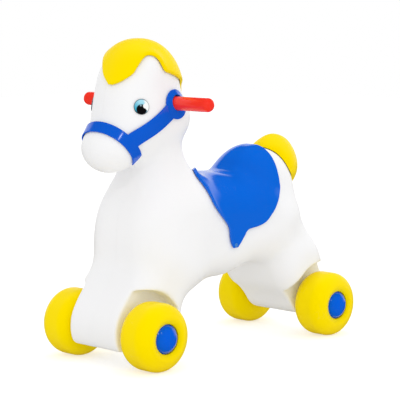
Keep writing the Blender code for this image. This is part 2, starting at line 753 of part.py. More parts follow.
def wheel_profile():
    """The wheel's outline (x, r), x pointing away from the body: a hollow skin, dished towards the cap."""
    half = WHEEL_WIDTH / 2.0
    hole = BUSH_RADIUS + GAP
    lip = CAP_RADIUS + GAP
    recess = cap_base() - GAP
    skin = shoulder(half, WHEEL_RADIUS, [0.0, 22.0, 42.0, 60.0])
    inside = shoulder(half - WHEEL_WALL, WHEEL_RADIUS - WHEEL_WALL, [0.0, 34.0, 60.0])
    outer = [(-half, hole), (-half, WHEEL_BACK_RADIUS)]
    outer += list(skin[::-1] * (-1.0, 1.0)) + list(skin)
    outer += [(half - WHEEL_DISH, WHEEL_FACE_RADIUS), (recess + CAP_SEAT, lip)]
    outer += [(recess, lip), (recess, hole)]
    floor = recess - WHEEL_WALL
    inner = [(floor, hole), (floor, lip + WHEEL_WALL)]
    inner += list(inside[::-1]) + list(inside * (-1.0, 1.0))
    inner += [(WHEEL_WALL - half, WHEEL_BACK_RADIUS), (WHEEL_WALL - half, hole)]
    return outer + inner


def cap_base():
    """How far out the hub cap's rim sits, from the wheel's middle."""
    return WHEEL_WIDTH / 2.0 + CAP_PROUD - CAP_HEIGHT


def bush_profile():
    """A flanged bush: its flange runs between the leg and the wheel."""
    flange_end = -WHEEL_WIDTH / 2.0 - GAP
    flange_start = flange_end - FLANGE_THICKNESS
    end = cap_base() - GAP
    hole = AXLE_RADIUS + GAP
    flange = [(flange_start, hole), (flange_start, FLANGE_RADIUS), (flange_end, FLANGE_RADIUS)]
    return flange + [(flange_end, BUSH_RADIUS), (end, BUSH_RADIUS), (end, hole)]


def nut_profile():
    """A push nut on the axle, just outside the bush."""
    start = cap_base()
    end = start + NUT_THICKNESS
    hole = AXLE_RADIUS + GAP
    return [(start, hole), (start, NUT_RADIUS), (end, NUT_RADIUS), (end, hole)]


def cap_profile():
    """A dome of even wall, open towards the wheel."""
    base = cap_base()
    sphere = (CAP_RADIUS**2 + CAP_HEIGHT**2) / (2.0 * CAP_HEIGHT)
    centre = base + CAP_HEIGHT - sphere
    cap = []
    for radius in np.array([1.0, 0.88, 0.66, 0.36]) * CAP_RADIUS:
        cap.append((centre + np.sqrt(sphere**2 - radius**2), radius))
    cap += [(base + CAP_HEIGHT, 0.0), (base + CAP_HEIGHT - CAP_WALL, 0.0)]
    inside = sphere - CAP_WALL
    rim = np.sqrt(inside**2 - (base - centre) ** 2)
    for radius in np.array([0.45, 0.8]) * rim:
        cap.append((centre + np.sqrt(inside**2 - radius**2), radius))
    return cap + [(base, rim)]


def make_wheels():
    """Four wheels, each with its bush, push nut and hub cap, with their origins on the axle."""
    for end, place in ((-1, "front"), (1, "rear")):
        for side, hand in ((1, "left"), (-1, "right")):
            where = (side * TRACK / 2.0, axle_y(end), WHEEL_RADIUS)
            turn = 0.0 if side > 0 else np.pi
            for label, profile, segments, colour in (
                ("wheel", wheel_profile(), WHEEL_SEGMENTS, "yellow"),
                ("bush", bush_profile(), SMALL_SEGMENTS, "nylon"),
                ("push_nut", nut_profile(), SMALL_SEGMENTS, "steel"),
                ("hub_cap", cap_profile(), ROUND_SEGMENTS, "blue"),
            ):
                name = f"{label}_{place}_{hand}"
                mesh = revolve(name, profile, segments, label == "wheel")
                add_object(name, mesh, colour, where, turn)


def make_axles():
    reach = TRACK / 2.0 + WHEEL_WIDTH / 2.0 - AXLE_END_INSET
    for end, place in ((-1, "front"), (1, "rear")):
        name = "axle_" + place
        mesh = rod(name, AXLE_RADIUS, -reach, reach, SMALL_SEGMENTS)
        add_object(name, mesh, "steel", (0.0, axle_y(end), WHEEL_RADIUS))


def clear_scene():
    for item in list(bpy.data.objects):
        bpy.data.objects.remove(item, do_unlink=True)


clear_scene()
body_shell = make_body()
make_mane()
make_tail(body_shell)
make_saddle()
make_saddle_rivets()
make_bridle()
make_eyes()
make_handle()
make_wheels()
make_axles()
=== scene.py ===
"""The finished look of a child's ride-on pony: a blow-moulded white body on four fat yellow wheels.

The pony faces -Y and stands on the floor at z = 0; its left side is +X.
"""
import math

import bmesh
import bpy
import numpy as np
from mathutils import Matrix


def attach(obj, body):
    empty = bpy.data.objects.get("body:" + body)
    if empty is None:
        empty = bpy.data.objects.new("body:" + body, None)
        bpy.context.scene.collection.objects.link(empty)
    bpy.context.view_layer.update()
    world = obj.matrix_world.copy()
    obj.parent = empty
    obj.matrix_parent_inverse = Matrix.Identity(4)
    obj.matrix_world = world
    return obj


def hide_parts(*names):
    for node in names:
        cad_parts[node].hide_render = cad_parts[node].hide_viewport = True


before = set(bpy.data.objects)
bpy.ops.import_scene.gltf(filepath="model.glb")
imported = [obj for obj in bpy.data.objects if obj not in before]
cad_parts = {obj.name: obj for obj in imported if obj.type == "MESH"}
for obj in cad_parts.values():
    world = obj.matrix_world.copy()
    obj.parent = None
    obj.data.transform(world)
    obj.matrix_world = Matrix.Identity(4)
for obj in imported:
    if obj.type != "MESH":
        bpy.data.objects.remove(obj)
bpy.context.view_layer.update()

# The studio. A white floor that runs out of sight, a white surround, a broad lamp overhead, a low one in
# front, and two small ones whose mirror images are the bright dots on the hub caps. The camera stands to
# the pony's front left, a little above its head.
CAMERA_TURN = math.radians(44.637)
CAMERA_RISE = math.radians(6.762)
CAMERA_DISTANCE = 2.5868
CAMERA_AIM = (0.0, -0.0097, 0.2361)
LENS_MM = 144.84
SENSOR_MM = 36.0
FLOOR_HALF = 6.0
FLOOR_SEEN = 0.56
FLOOR_BOUNCED = 0.26
FLOOR_MIRRORED = 0.05
FLOOR_PAPER = (0.62, 0.615, 0.61, 1.0)
WHITE_LIGHT = (1.0, 1.0, 1.0, 1.0)


def direction(turn, rise):
    """Unit vector (sin t cos r, -cos t cos r, sin r), from the pony towards the turn t and the rise r."""
    return np.array([math.sin(turn) * math.cos(rise), -math.cos(turn) * math.cos(rise), math.sin(rise)])


def aimed(name, data, place, aim):
    """An object at the place whose -Z axis points at the aim, with no roll."""
    made = bpy.data.objects.new(name, data)
    bpy.context.scene.collection.objects.link(made)
    back = np.array(place) - np.array(aim)
    back = back / np.linalg.norm(back)
    made.location = place
    made.rotation_euler = (math.acos(back[2]), 0.0, math.atan2(back[0], -back[1]))
    return made


lens = bpy.data.cameras.new("camera")
lens.lens = LENS_MM
lens.sensor_width = SENSOR_MM
lens.clip_end = 50.0
camera_place = np.array(CAMERA_AIM) + CAMERA_DISTANCE * direction(CAMERA_TURN, CAMERA_RISE)
bpy.context.scene.camera = aimed("camera", lens, camera_place, CAMERA_AIM)
bpy.context.scene.view_settings.view_transform = "Standard"
bpy.context.scene.view_settings.look = "None"

floor_mesh = bpy.data.meshes.new("floor")
corners = FLOOR_HALF * np.array([[-1.0, -1.0], [1.0, -1.0], [1.0, 1.0], [-1.0, 1.0]])
floor_mesh.from_pydata(np.column_stack([corners, np.zeros(4)]).tolist(), [], [(0, 1, 2, 3)])
floor = bpy.data.objects.new("floor", floor_mesh)
bpy.context.scene.collection.objects.link(floor)


def new_material(name):
    """A material whose nodes are empty but for its output, with the tree and its output node."""
    made = bpy.data.materials.new(name)
    made.use_nodes = True
    tree = made.node_tree
    tree.nodes.clear()
    output = tree.nodes.new("ShaderNodeOutputMaterial")
    return made, tree, output


def node(tree, kind, *links, **settings):
    """A new node. Each link is (input, value or output socket), and each setting is an attribute."""
    made = tree.nodes.new(kind)
    for name, value in settings.items():
        setattr(made, name, value)
    for place, value in links:
        if isinstance(value, bpy.types.NodeSocket):
            tree.links.new(value, made.inputs[place])
        else:
            made.inputs[place].default_value = value
    return made


def math_node(tree, operation, a, b=0.0, clamp=False):
    """The result of one Math node on a and b."""
    return node(tree, "ShaderNodeMath", (0, a), (1, b), operation=operation, use_clamp=clamp).outputs[0]


# The floor glows evenly, so that it is white to the camera and lights the pony from below, and its paper
# takes the shadows. In the mirror of the gloss it is nearly dark.
floor_look, tree, output = new_material("studio_floor")
path = node(tree, "ShaderNodeLightPath")
camera_ray, glossy_ray = path.outputs["Is Camera Ray"], path.outputs["Is Glossy Ray"]
seen = node(tree, "ShaderNodeEmission", ("Color", WHITE_LIGHT), ("Strength", FLOOR_SEEN))
bounced = node(tree, "ShaderNodeEmission", ("Color", WHITE_LIGHT), ("Strength", FLOOR_BOUNCED))
mirrored = node(tree, "ShaderNodeEmission", ("Color", WHITE_LIGHT), ("Strength", FLOOR_MIRRORED))
paper = node(tree, "ShaderNodeBsdfDiffuse", ("Color", FLOOR_PAPER))
glow = node(tree, "ShaderNodeMixShader", (0, camera_ray), (1, bounced.outputs[0]), (2, seen.outputs[0]))
matt = node(tree, "ShaderNodeAddShader", (0, glow.outputs[0]), (1, paper.outputs[0]))
whole = node(tree, "ShaderNodeMixShader", (0, glossy_ray), (1, matt.outputs[0]), (2, mirrored.outputs[0]))
tree.links.new(whole.outputs[0], output.inputs["Surface"])
floor_mesh.materials.append(floor_look)

# The surround is white to the camera and nearly even to the plastic. Its mirror image in the gloss is a
# dark room with a lit backdrop behind the pony, which rises to 27 degrees.
BACKDROP = 0.95
BACKDROP_SIDE = (0.40, 0.66)
BACKDROP_TOP = (0.42, 0.50)
DARK_ROOM = 0.02
EVEN_LIGHT = (0.82, 1.05)


def mapped(tree, value, low, high, at_low=0.0, at_high=1.0):
    """The value carried in a straight line from low..high to at_low..at_high, and held at both ends."""
    ends = ((1, low), (2, high), (3, at_low), (4, at_high))
    return node(tree, "ShaderNodeMapRange", (0, value), *ends).outputs[0]


def along(tree, vector, axis):
    """The dot product of the vector with the axis."""
    made = node(tree, "ShaderNodeVectorMath", (0, vector), (1, axis), operation="DOT_PRODUCT")
    return made.outputs["Value"]


world = bpy.data.worlds.new("studio")
bpy.context.scene.world = world
world.use_nodes = True
world.cycles.sampling_method = "NONE"
tree = world.node_tree
tree.nodes.clear()
output = tree.nodes.new("ShaderNodeOutputWorld")
path = node(tree, "ShaderNodeLightPath")
towards = node(tree, "ShaderNodeTexCoord").outputs["Generated"]
behind = mapped(tree, along(tree, towards, (-0.707, 0.707, 0.0)), *BACKDROP_SIDE, 0.0, BACKDROP)
height = node(tree, "ShaderNodeSeparateXYZ", (0, towards)).outputs["Z"]
below_top = mapped(tree, height, *BACKDROP_TOP, 1.0, 0.0)
room = math_node(tree, "ADD", math_node(tree, "MULTIPLY", behind, below_top), DARK_ROOM)
even = mapped(tree, along(tree, towards, (0.31, 0.62, 0.72)), -1.0, 1.0, *EVEN_LIGHT)
soft = node(tree, "ShaderNodeMix", (0, path.outputs["Is Glossy Ray"]), (2, even), (3, room)).outputs[0]
strength = node(tree, "ShaderNodeMix", (0, path.outputs["Is Camera Ray"]), (2, soft), (3, 1.0)).outputs[0]
surround = node(tree, "ShaderNodeBackground", ("Color", WHITE_LIGHT), ("Strength", strength))
tree.links.new(surround.outputs[0], output.inputs["Surface"])


def lamp(name, turn, rise, distance, width, height, power, aim=(0.0, 0.0, 0.25)):
    """A rectangular lamp, its power in watts, that faces the aim from the turn and the rise in degrees."""
    light = bpy.data.lights.new(name, "AREA")
    light.shape = "RECTANGLE"
    light.size = width
    light.size_y = height
    light.energy = power
    place = np.array(aim) + distance * direction(math.radians(turn), math.radians(rise))
    return aimed(name, light, place, aim)


overhead = lamp("overhead_lamp", 200.0, 62.0, 1.6, 1.2, 0.8, 4.5)
overhead.visible_glossy = False
low = lamp("low_lamp", 32.0, 6.0, 2.4, 0.5, 0.3, 1.5)
low.visible_glossy = False
lamp("left_lamp", 35.0, 28.0, 2.4, 0.12, 0.12, 1.6)
lamp("right_lamp", 56.5, 36.5, 2.4, 0.12, 0.12, 1.6)

# The body. One hollow blow moulding in white polyethylene, from muzzle to rump, with four stub legs.
# The mould closes on the middle plane. Each leg has a round well for its wheel, and a bore through the
# head takes the handle. Its outside is the surface where a field of rounded bars and eggs is zero.
WHEEL_RADIUS = 0.0525
WHEEL_WIDTH = 0.0672
TRACK = 0.1768
WHEELBASE = 0.394
FLANGE_THICKNESS = 0.002
GAP = 0.0003
GRIP_RADIUS = 0.0106
WELL_RADIUS = WHEEL_RADIUS + 0.0155
WELL_DEPTH_X = TRACK / 2.0 - WHEEL_WIDTH / 2.0 - FLANGE_THICKNESS - 2.0 * GAP
WELL_LIP = 0.007
WELL_CORNER = 0.012
BORE_LIP = 0.001
FOOT_HEIGHT = 0.027
FOOT_ROUNDING = 0.014
MIDDLE_ROUNDING = 0.0032
CHEST_Y = -WHEELBASE / 2.0 + 0.097
RUMP_Y = WHEELBASE / 2.0 - 0.083
HEAD_Y = CHEST_Y - 0.045
HEAD_Z = 0.397
HANDLE_Y = HEAD_Y + 0.018
HANDLE_Z = HEAD_Z + 0.002
FORE_FOOT = (-WHEELBASE / 2.0 + 0.012, WHEEL_RADIUS + 0.0035)
KNEE = (WHEELBASE / 2.0 - 0.035, 0.121)
HIND_FOOT = (WHEELBASE / 2.0 - 0.004, WHEEL_RADIUS + 0.022)
# Each limb: its ends in side view, its radii and half-widths there, its edge rounding and its blend.
LIMBS = (
    ((CHEST_Y, 0.192), (-0.007, 0.194), (0.088, 0.075), (0.081, 0.069), 0.050, 0.040),
    ((-0.003, 0.196), (RUMP_Y - 0.041, 0.204), (0.073, 0.066), (0.067, 0.072), 0.050, 0.040),
    ((RUMP_Y - 0.022, 0.209), (RUMP_Y, 0.248), (0.075, 0.066), (0.072, 0.057), 0.050, 0.040),
    ((CHEST_Y - 0.034, 0.146), FORE_FOOT, (0.047, 0.058), (0.070, 0.088), 0.034, 0.060),
    ((RUMP_Y + 0.025, 0.194), KNEE, (0.042, 0.051), (0.064, 0.079), 0.034, 0.050),
    (KNEE, HIND_FOOT, (0.051, 0.045), (0.079, 0.082), 0.034, 0.014),
    ((CHEST_Y - 0.009, 0.228), (CHEST_Y - 0.015, 0.337), (0.063, 0.033), (0.054, 0.048), 0.030, 0.058),
)
# Each lump of the head: its centre in side view, its radii, its squareness, its pitch and its blend.
LUMPS = (
    ((HEAD_Y, HEAD_Z), (0.059, 0.069, 0.094), 2.2, 0.0, 0.028),
    ((HEAD_Y + 0.030, HEAD_Z - 0.020), (0.062, 0.053, 0.052), 2.1, 0.0, 0.012),
    ((HEAD_Y - 0.015, HEAD_Z - 0.025), (0.059, 0.052, 0.045), 2.1, 40.0, 0.040),
    ((HEAD_Y - 0.062, HEAD_Z - 0.066), (0.045, 0.036, 0.036), 2.1, 40.0, 0.040),
)
EAR_CENTRE = (0.040, HEAD_Y - 0.014, HEAD_Z + 0.049)
EAR_RADII = (0.014, 0.015, 0.026)
EAR_BLEND = 0.020
BODY_BOX = ((-0.125, -0.26, 0.015), (0.125, 0.26, 0.505))
BODY_CELL = 0.0027


def smooth_min(a, b, blend):
    """min(a, b) - h^3 * blend / 6.

    h falls from 1 where a equals b to 0 where they differ by the blend.
    """
    nearness = np.maximum(blend - np.abs(a - b), 0.0) / blend
    return np.minimum(a, b) - nearness**3 * blend / 6.0


def smooth_max(a, b, blend):
    """The same rounding for the larger of two distances."""
    return -smooth_min(-a, -b, blend)


def limb(points, start, end, radii, half_widths, rounding):
    """Distance to a bar that is a round cone in side view and has flat sides with rounded edges."""
    start = np.array(start)
    along = np.array(end) - start
    offset = points[..., 1:] - start
    share = np.clip(offset @ along / (along @ along), 0.0, 1.0)
    eased = share * share * (3.0 - 2.0 * share)
    reach = np.linalg.norm(offset - share[..., None] * along, axis=-1)
    side = reach - (radii[0] + eased * (radii[1] - radii[0])) + rounding
    half_width = half_widths[0] + eased * (half_widths[1] - half_widths[0])
    width = np.hypot(points[..., 0], MIDDLE_ROUNDING) - half_width + rounding
    outside = np.hypot(np.maximum(side, 0.0), np.maximum(width, 0.0))
    return np.minimum(np.maximum(side, width), 0.0) + outside - rounding


def lump(points, centre, radii, squareness, pitch):
    """Distance to an egg pitched about X: (|x/rx|^n + |y/ry|^n + |z/rz|^n)^(1/n) = 1, over its slope."""
    offset = points - np.array(centre)
    cos, sin = np.cos(pitch), np.sin(pitch)
    turned_y = cos * offset[..., 1] + sin * offset[..., 2]
    turned_z = cos * offset[..., 2] - sin * offset[..., 1]
    scaled = np.abs(np.stack([offset[..., 0], turned_y, turned_z], -1)) / np.array(radii) + 1e-9
    size = (scaled**squareness).sum(-1) ** (1.0 / squareness)
    slope = (scaled / size[..., None]) ** (squareness - 1.0) / np.array(radii)
    return (size - 1.0) / np.linalg.norm(slope, axis=-1)


def skin(points):
    """Distance to the body's outside before its wells are cut, the field that every trim is laid on."""
    distance = np.full(points.shape[:-1], 1.0)
    for start, end, radii, half_widths, rounding, blend in LIMBS:
        distance = smooth_min(distance, limb(points, start, end, radii, half_widths, rounding), blend)
    for (y, z), radii, squareness, pitch, blend in LUMPS:
        egg = lump(points, (0.0, y, z), radii, squareness, np.radians(pitch))
        distance = smooth_min(distance, egg, blend)
    folded = np.concatenate([np.abs(points[..., :1]), points[..., 1:]], -1)
    distance = smooth_min(distance, lump(folded, EAR_CENTRE, EAR_RADII, 2.0, 0.0), EAR_BLEND)
    return smooth_max(distance, FOOT_HEIGHT - points[..., 2], FOOT_ROUNDING)


def moulded(points):
    """The skin with a round well about each wheel and the handle's bore cut from it, their edges rounded."""
    x, y, z = np.abs(points[..., 0]), points[..., 1], points[..., 2]
    distance = skin(points)
    for end in (-1.0, 1.0):
        radius = np.hypot(y - end * WHEELBASE / 2.0, z - WHEEL_RADIUS)
        well = smooth_max(radius - WELL_RADIUS, WELL_DEPTH_X - x, WELL_CORNER)
        distance = smooth_max(distance, -well, WELL_LIP)
    bore = np.hypot(y - HANDLE_Y, z - HANDLE_Z) - GRIP_RADIUS - GAP
    return smooth_max(distance, -bore, BORE_LIP)


def gradient(field, points, step=0.0004):
    """Central differences of the field along X, Y and Z."""
    slopes = [(field(points + axis) - field(points - axis)) / (2.0 * step) for axis in np.eye(3) * step]
    return np.stack(slopes, -1)


def lift(points, level, field=skin, rounds=5):
    """The points moved along the field's slope to where it equals the level, by Newton steps."""
    for _ in range(rounds):
        slope = gradient(field, points)
        size = (slope**2).sum(-1, keepdims=True)
        points = points - (field(points) - level)[..., None] * slope / np.maximum(size, 0.05)
    return points


def skin_along(starts, directions, reach=0.2):
    """Where rays from inside the body leave its skin, found by halving."""
    near = np.zeros(starts.shape[:-1])
    far = np.full(starts.shape[:-1], reach)
    for _ in range(24):
        middle = (near + far) / 2.0
        inside = skin(starts + middle[..., None] * directions) < 0.0
        near = np.where(inside, middle, near)
        far = np.where(inside, far, middle)
    return starts + near[..., None] * directions


def side_points(side, y, z):
    """Where rays along X from the middle plane leave the skin, to the left for side 1, else to the right."""
    starts = np.stack([np.zeros_like(y), y, z], -1)
    return skin_along(starts, np.array([float(side), 0.0, 0.0]) + np.zeros_like(starts))


def net_surface(field, low, high, cell):
    """A closed net of quads where the field is zero.

    Each grid cell that the surface crosses gets a vertex at the mean of its crossings, each grid edge that it
    cuts gets a quad between the four cells round it, and the vertices are then moved onto the surface.
    """
    low = cell * (np.floor(np.array(low) / cell) - 1.0)
    counts = np.ceil((np.array(high) - low) / cell).astype(int) + 2
    grid = low + cell * np.stack(np.meshgrid(*map(np.arange, counts), indexing="ij"), -1)
    value = np.concatenate([field(slab) for slab in np.array_split(grid, 24)])
    cells = tuple(counts - 1)
    total = np.zeros((int(np.prod(cells)), 3))
    hits = np.zeros(int(np.prod(cells)))
    quads = []
    for axis in range(3):
        first, second = (axis + 1) % 3, (axis + 2) % 3
        start = [slice(None)] * 3
        stop = [slice(None)] * 3
        start[axis], stop[axis] = slice(None, -1), slice(1, None)
        here, there = value[tuple(start)], value[tuple(stop)]
        cut = (here < 0) != (there < 0)
        share = here[cut] / (here[cut] - there[cut])
        place = grid[tuple(start)][cut] + share[:, None] * cell * np.eye(3)[axis]
        edge = np.argwhere(cut)
        around = []
        for step_first, step_second in ((0, 0), (-1, 0), (-1, -1), (0, -1)):
            owner = edge.copy()
            owner[:, first] += step_first
            owner[:, second] += step_second
            number = np.ravel_multi_index(tuple(owner.T), cells)
            around.append(number)
            hits += np.bincount(number, minlength=hits.size)
            for part in range(3):
                total[:, part] += np.bincount(number, place[:, part], hits.size)
        ring = np.stack(around, 1)
        quads.append(np.where((here[cut] < 0)[:, None], ring, ring[:, ::-1]))
    used = hits > 0
    number = np.cumsum(used) - 1
    return lift(total[used] / hits[used, None], 0.0, field, 3), number[np.concatenate(quads)]


def make_piece(name, points, quads, look, body, slot, stands_for, sharp=40.0, close=False, uv=None):
    """Puts points and quads into a mesh as arrays, and fits it to the frame.

    close joins points that fall in one place, such as the seam and poles of a turned shape. uv holds one
    coordinate pair for each point.
    """
    mesh = bpy.data.meshes.new(name)
    quads = np.ascontiguousarray(quads, np.int32)
    mesh.vertices.add(len(points))
    mesh.vertices.foreach_set("co", np.asarray(points, np.float32).ravel())
    mesh.loops.add(quads.size)
    mesh.loops.foreach_set("vertex_index", quads.ravel())
    mesh.polygons.add(len(quads))
    mesh.polygons.foreach_set("loop_start", np.arange(0, quads.size, 4, dtype=np.int32))
    if uv is not None:
        layer = mesh.uv_layers.new(name="face_of_print")
        layer.uv.foreach_set("vector", np.asarray(uv, np.float32)[quads.ravel()].ravel())
    mesh.update(calc_edges=True)
    if close:
        work = bmesh.new()
        work.from_mesh(mesh)
        bmesh.ops.remove_doubles(work, verts=work.verts, dist=2e-6)
        bmesh.ops.recalc_face_normals(work, faces=work.faces)
        work.to_mesh(mesh)
        work.free()
    mesh.validate()
    mesh.shade_smooth()
    mesh.set_sharp_from_angle(angle=math.radians(sharp))
    mesh.materials.append(look)
    made = bpy.data.objects.new(name, mesh)
    bpy.context.scene.collection.objects.link(made)
    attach(made, body)
    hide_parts(stands_for)
    return made


def mixed(tree, share, below, above):
    """The colour below covered by the colour above, by the share."""
    return node(tree, "ShaderNodeMix", (0, share), (6, below), (7, above), data_type="RGBA").outputs[2]


def noise(tree, point, scale, detail):
    """Soft noise about 0.5, over the point times the scale."""
    made = node(tree, "ShaderNodeTexNoise", ("Vector", point), ("Scale", scale), ("Detail", detail))
    return made.outputs[0]


def moulded_plastic_group():
    """Shader group: how moulded plastic varies over its surface.

    Colour is the plain colour mixed with a slightly deeper one where broad noise is high, and lightened in
    scuffs. Roughness rises with the same noise and in scuffs. Height is fine grain less the scuffs'
    hairlines, which are the thin borders of stretched cells, kept only where patches of noise are high.
    """
    group = bpy.data.node_groups.new("moulded_plastic", "ShaderNodeTree")
    for name, kind, value in (
        ("Point", "NodeSocketVector", None),
        ("Colour", "NodeSocketColor", (0.8, 0.8, 0.8, 1.0)),
        ("Deep Colour", "NodeSocketColor", (0.7, 0.7, 0.7, 1.0)),
        ("Roughness", "NodeSocketFloat", 0.35),
        ("Cloud Size", "NodeSocketFloat", 0.08),
        ("Cloud Amount", "NodeSocketFloat", 0.5),
        ("Grain Size", "NodeSocketFloat", 0.0012),
        ("Grain Height", "NodeSocketFloat", 0.2),
        ("Scuffs", "NodeSocketFloat", 0.3),
    ):
        socket = group.interface.new_socket(name, in_out="INPUT", socket_type=kind)
        if value is not None:
            socket.default_value = value
    for name, kind in (
        ("Colour", "NodeSocketColor"),
        ("Roughness", "NodeSocketFloat"),
        ("Height", "NodeSocketFloat"),
    ):
        group.interface.new_socket(name, in_out="OUTPUT", socket_type=kind)
    given = group.nodes.new("NodeGroupInput")
    result = group.nodes.new("NodeGroupOutput")
    point = given.outputs["Point"]
    cloud_scale = math_node(group, "DIVIDE", 1.0, given.outputs["Cloud Size"])
    cloud = mapped(group, noise(group, point, cloud_scale, 2.0), 0.35, 0.70)
    cloud = math_node(group, "MULTIPLY", cloud, given.outputs["Cloud Amount"])
    grain_scale = math_node(group, "DIVIDE", 1.0, given.outputs["Grain Size"])
    grain = noise(group, point, grain_scale, 1.0)
    stretch = (("Rotation", (0.5, 0.3, 0.9)), ("Scale", (60.0, 160.0, 110.0)))
    stretched = node(group, "ShaderNodeMapping", ("Vector", point), *stretch).outputs[0]
    cells = (("Vector", stretched), ("Scale", 1.0))
    border = node(group, "ShaderNodeTexVoronoi", *cells, feature="DISTANCE_TO_EDGE").outputs[0]
    hairline = mapped(group, border, 0.0, 0.02, 1.0, 0.0)
    patches = mapped(group, noise(group, point, 21.0, 2.0), 0.60, 0.72)
    scuff = math_node(group, "MULTIPLY", hairline, patches)
    scuff = math_node(group, "MULTIPLY", scuff, given.outputs["Scuffs"])
    plain = mixed(group, cloud, given.outputs["Colour"], given.outputs["Deep Colour"])
    marked = mixed(group, math_node(group, "MULTIPLY", scuff, 0.25), plain, (0.9, 0.9, 0.9, 1.0))
    rough = math_node(group, "ADD", math_node(group, "MULTIPLY", cloud, 0.06), given.outputs["Roughness"])
    rough = math_node(group, "ADD", rough, math_node(group, "MULTIPLY", scuff, 0.2), clamp=True)
    height = math_node(group, "MULTIPLY", grain, given.outputs["Grain Height"])
    height = math_node(group, "SUBTRACT", height, scuff)
    group.links.new(marked, result.inputs["Colour"])
    group.links.new(rough, result.inputs["Roughness"])
    group.links.new(height, result.inputs["Height"])
    return group


MOULDED_PLASTIC = moulded_plastic_group()


def linear(red, green, blue):
    """The scene-linear colour of a display colour given in 0 to 255."""
    display = np.array([red, green, blue]) / 255.0
    light = np.where(display <= 0.04045, display / 12.92, ((display + 0.055) / 1.055) ** 2.4)
    return (*light.tolist(), 1.0)


def plastic(name, colour, deep, roughness, gloss, grain, scuffs, cloud=0.08, tint=WHITE_LIGHT, ridge=None):
    """A moulded plastic finish.

    gloss is the strength of its mirrored light and tint the colour of it. cloud is the size of the patches in
    which the deeper colour shows. ridge adds the height of a mould line to the surface's own.
    """
    made, tree, output = new_material(name)
    point = node(tree, "ShaderNodeTexCoord").outputs["Object"]
    surface = node(tree, "ShaderNodeGroup", node_tree=MOULDED_PLASTIC)
    for place, value in (
        ("Colour", colour),
        ("Deep Colour", deep),
        ("Roughness", roughness),
        ("Cloud Size", cloud),
        ("Grain Height", grain),
        ("Scuffs", scuffs),
    ):
        surface.inputs[place].default_value = value
    tree.links.new(point, surface.inputs["Point"])
    height = surface.outputs["Height"]
    if ridge:
        height = math_node(tree, "ADD", height, ridge(tree, point))
    bump = node(tree, "ShaderNodeBump", ("Height", height), ("Distance", 0.0001))
    shader = node(
        tree,
        "ShaderNodeBsdfPrincipled",
        ("Base Color", surface.outputs["Colour"]),
        ("Roughness", surface.outputs["Roughness"]),
        ("Normal", bump.outputs[0]),
    )
    shader.inputs["Specular IOR Level"].default_value = gloss
    shader.inputs["Specular Tint"].default_value = tint
    tree.links.new(shader.outputs[0], output.inputs["Surface"])
    return made


def mould_line(tree, point):
    """The height of the faint ridge where the mould's halves met: highest at x = 0, gone 0.6 mm away."""
    x = node(tree, "ShaderNodeSeparateXYZ", (0, point)).outputs["X"]
    away = math_node(tree, "ABSOLUTE", x)
    return mapped(tree, away, 0.0002, 0.0006, 1.6, 0.0)


WHITE = plastic(
    "white_moulded_body",
    linear(248, 248, 249),
    linear(246, 246, 246),
    roughness=0.42,
    gloss=0.35,
    grain=0.25,
    scuffs=0.25,
    ridge=mould_line,
)
points, quads = net_surface(moulded, *BODY_BOX, BODY_CELL)
make_piece("moulded_body", points, quads, WHITE, "pony", "white_plastic", "body_shell")

# The mane. One soft yellow moulding that caps the crown from the forelock to the nape, glued to the body.
# Its edges curve between the ears, and the forelock ends in a round lobe swept to the pony's left.
MANE_THICKNESS = 0.0042
MANE_RIM = 0.0030
TRIM_GAP = 0.0014
MANE_AXIS = (HEAD_Y, HEAD_Z + 0.003)
MANE_ROWS = 181
MANE_COLUMNS = 61
YELLOW_LIGHT = (1.0, 0.8, 0.0, 1.0)
# Angle in degrees from straight ahead over the top, right edge x, left edge x.
MANE_EDGE = (
    (23, 0.008, 0.015),
    (27, 0.003, 0.024),
    (34, -0.006, 0.032),
    (44, -0.0145, 0.038),
    (54, -0.023, 0.0395),
    (64, -0.031, 0.041),
    (72, -0.036, 0.043),
    (80, -0.046, 0.0485),
    (92, -0.0525, 0.0525),
    (107, -0.052, 0.052),
    (122, -0.0505, 0.0505),
    (138, -0.046, 0.046),
    (150, -0.037, 0.037),
    (161, -0.025, 0.025),
    (176, -0.019, 0.019),
    (197, -0.018, 0.018),
    (216, -0.016, 0.016),
)


def smooth_rows(table, count):
    """The table's rows as one smooth curve through all of them, at the given number of places.

    Between rows b and c, with a before and d after them, it is half of 2b + (c - a) t
    + (2a - 5b + 4c - d) t^2 + (3b - a - 3c + d) t^3, for t from 0 to 1.
    """
    knots = np.array(table, float)
    padded = np.concatenate([2.0 * knots[:1] - knots[1:2], knots, 2.0 * knots[-1:] - knots[-2:-1]])
    place = np.linspace(0.0, len(knots) - 1.0, count)
    first = np.minimum(place.astype(int), len(knots) - 2)
    t = (place - first)[:, None]
    a, b, c, d = (padded[first + step] for step in range(4))
    square = (2.0 * a - 5.0 * b + 4.0 * c - d) * t**2
    cube = (3.0 * b - a - 3.0 * c + d) * t**3
    return 0.5 * (2.0 * b + (c - a) * t + square + cube)


def gathered(count):
    """Shares from 0 to 1 that lie closer together towards both ends: (1 - cos(pi t)) / 2."""
    return 0.5 - 0.5 * np.cos(np.pi * np.linspace(0.0, 1.0, count))


def sheet_quads(rows, columns, first=0, closed=False):
    """Quads over a grid of points stored row by row. closed joins the last row to the first."""
    row, column = np.meshgrid(np.arange(rows if closed else rows - 1), np.arange(columns - 1), indexing="ij")
    here = first + row * columns + column
    below = first + (row + 1) % rows * columns + column
    return np.stack([here, here + 1, below + 1, below], -1).reshape(-1, 4)


def rim_edges(quads):
    """The directed edges that only one quad has, which are the sheet's outline."""
    ends = np.concatenate([quads[:, [0, 1]], quads[:, [1, 2]], quads[:, [2, 3]], quads[:, [3, 0]]])
    ends = ends[ends[:, 0] != ends[:, 1]]
    _, index, count = np.unique(np.sort(ends, 1), axis=0, return_index=True, return_counts=True)
    return ends[index[count == 1]]


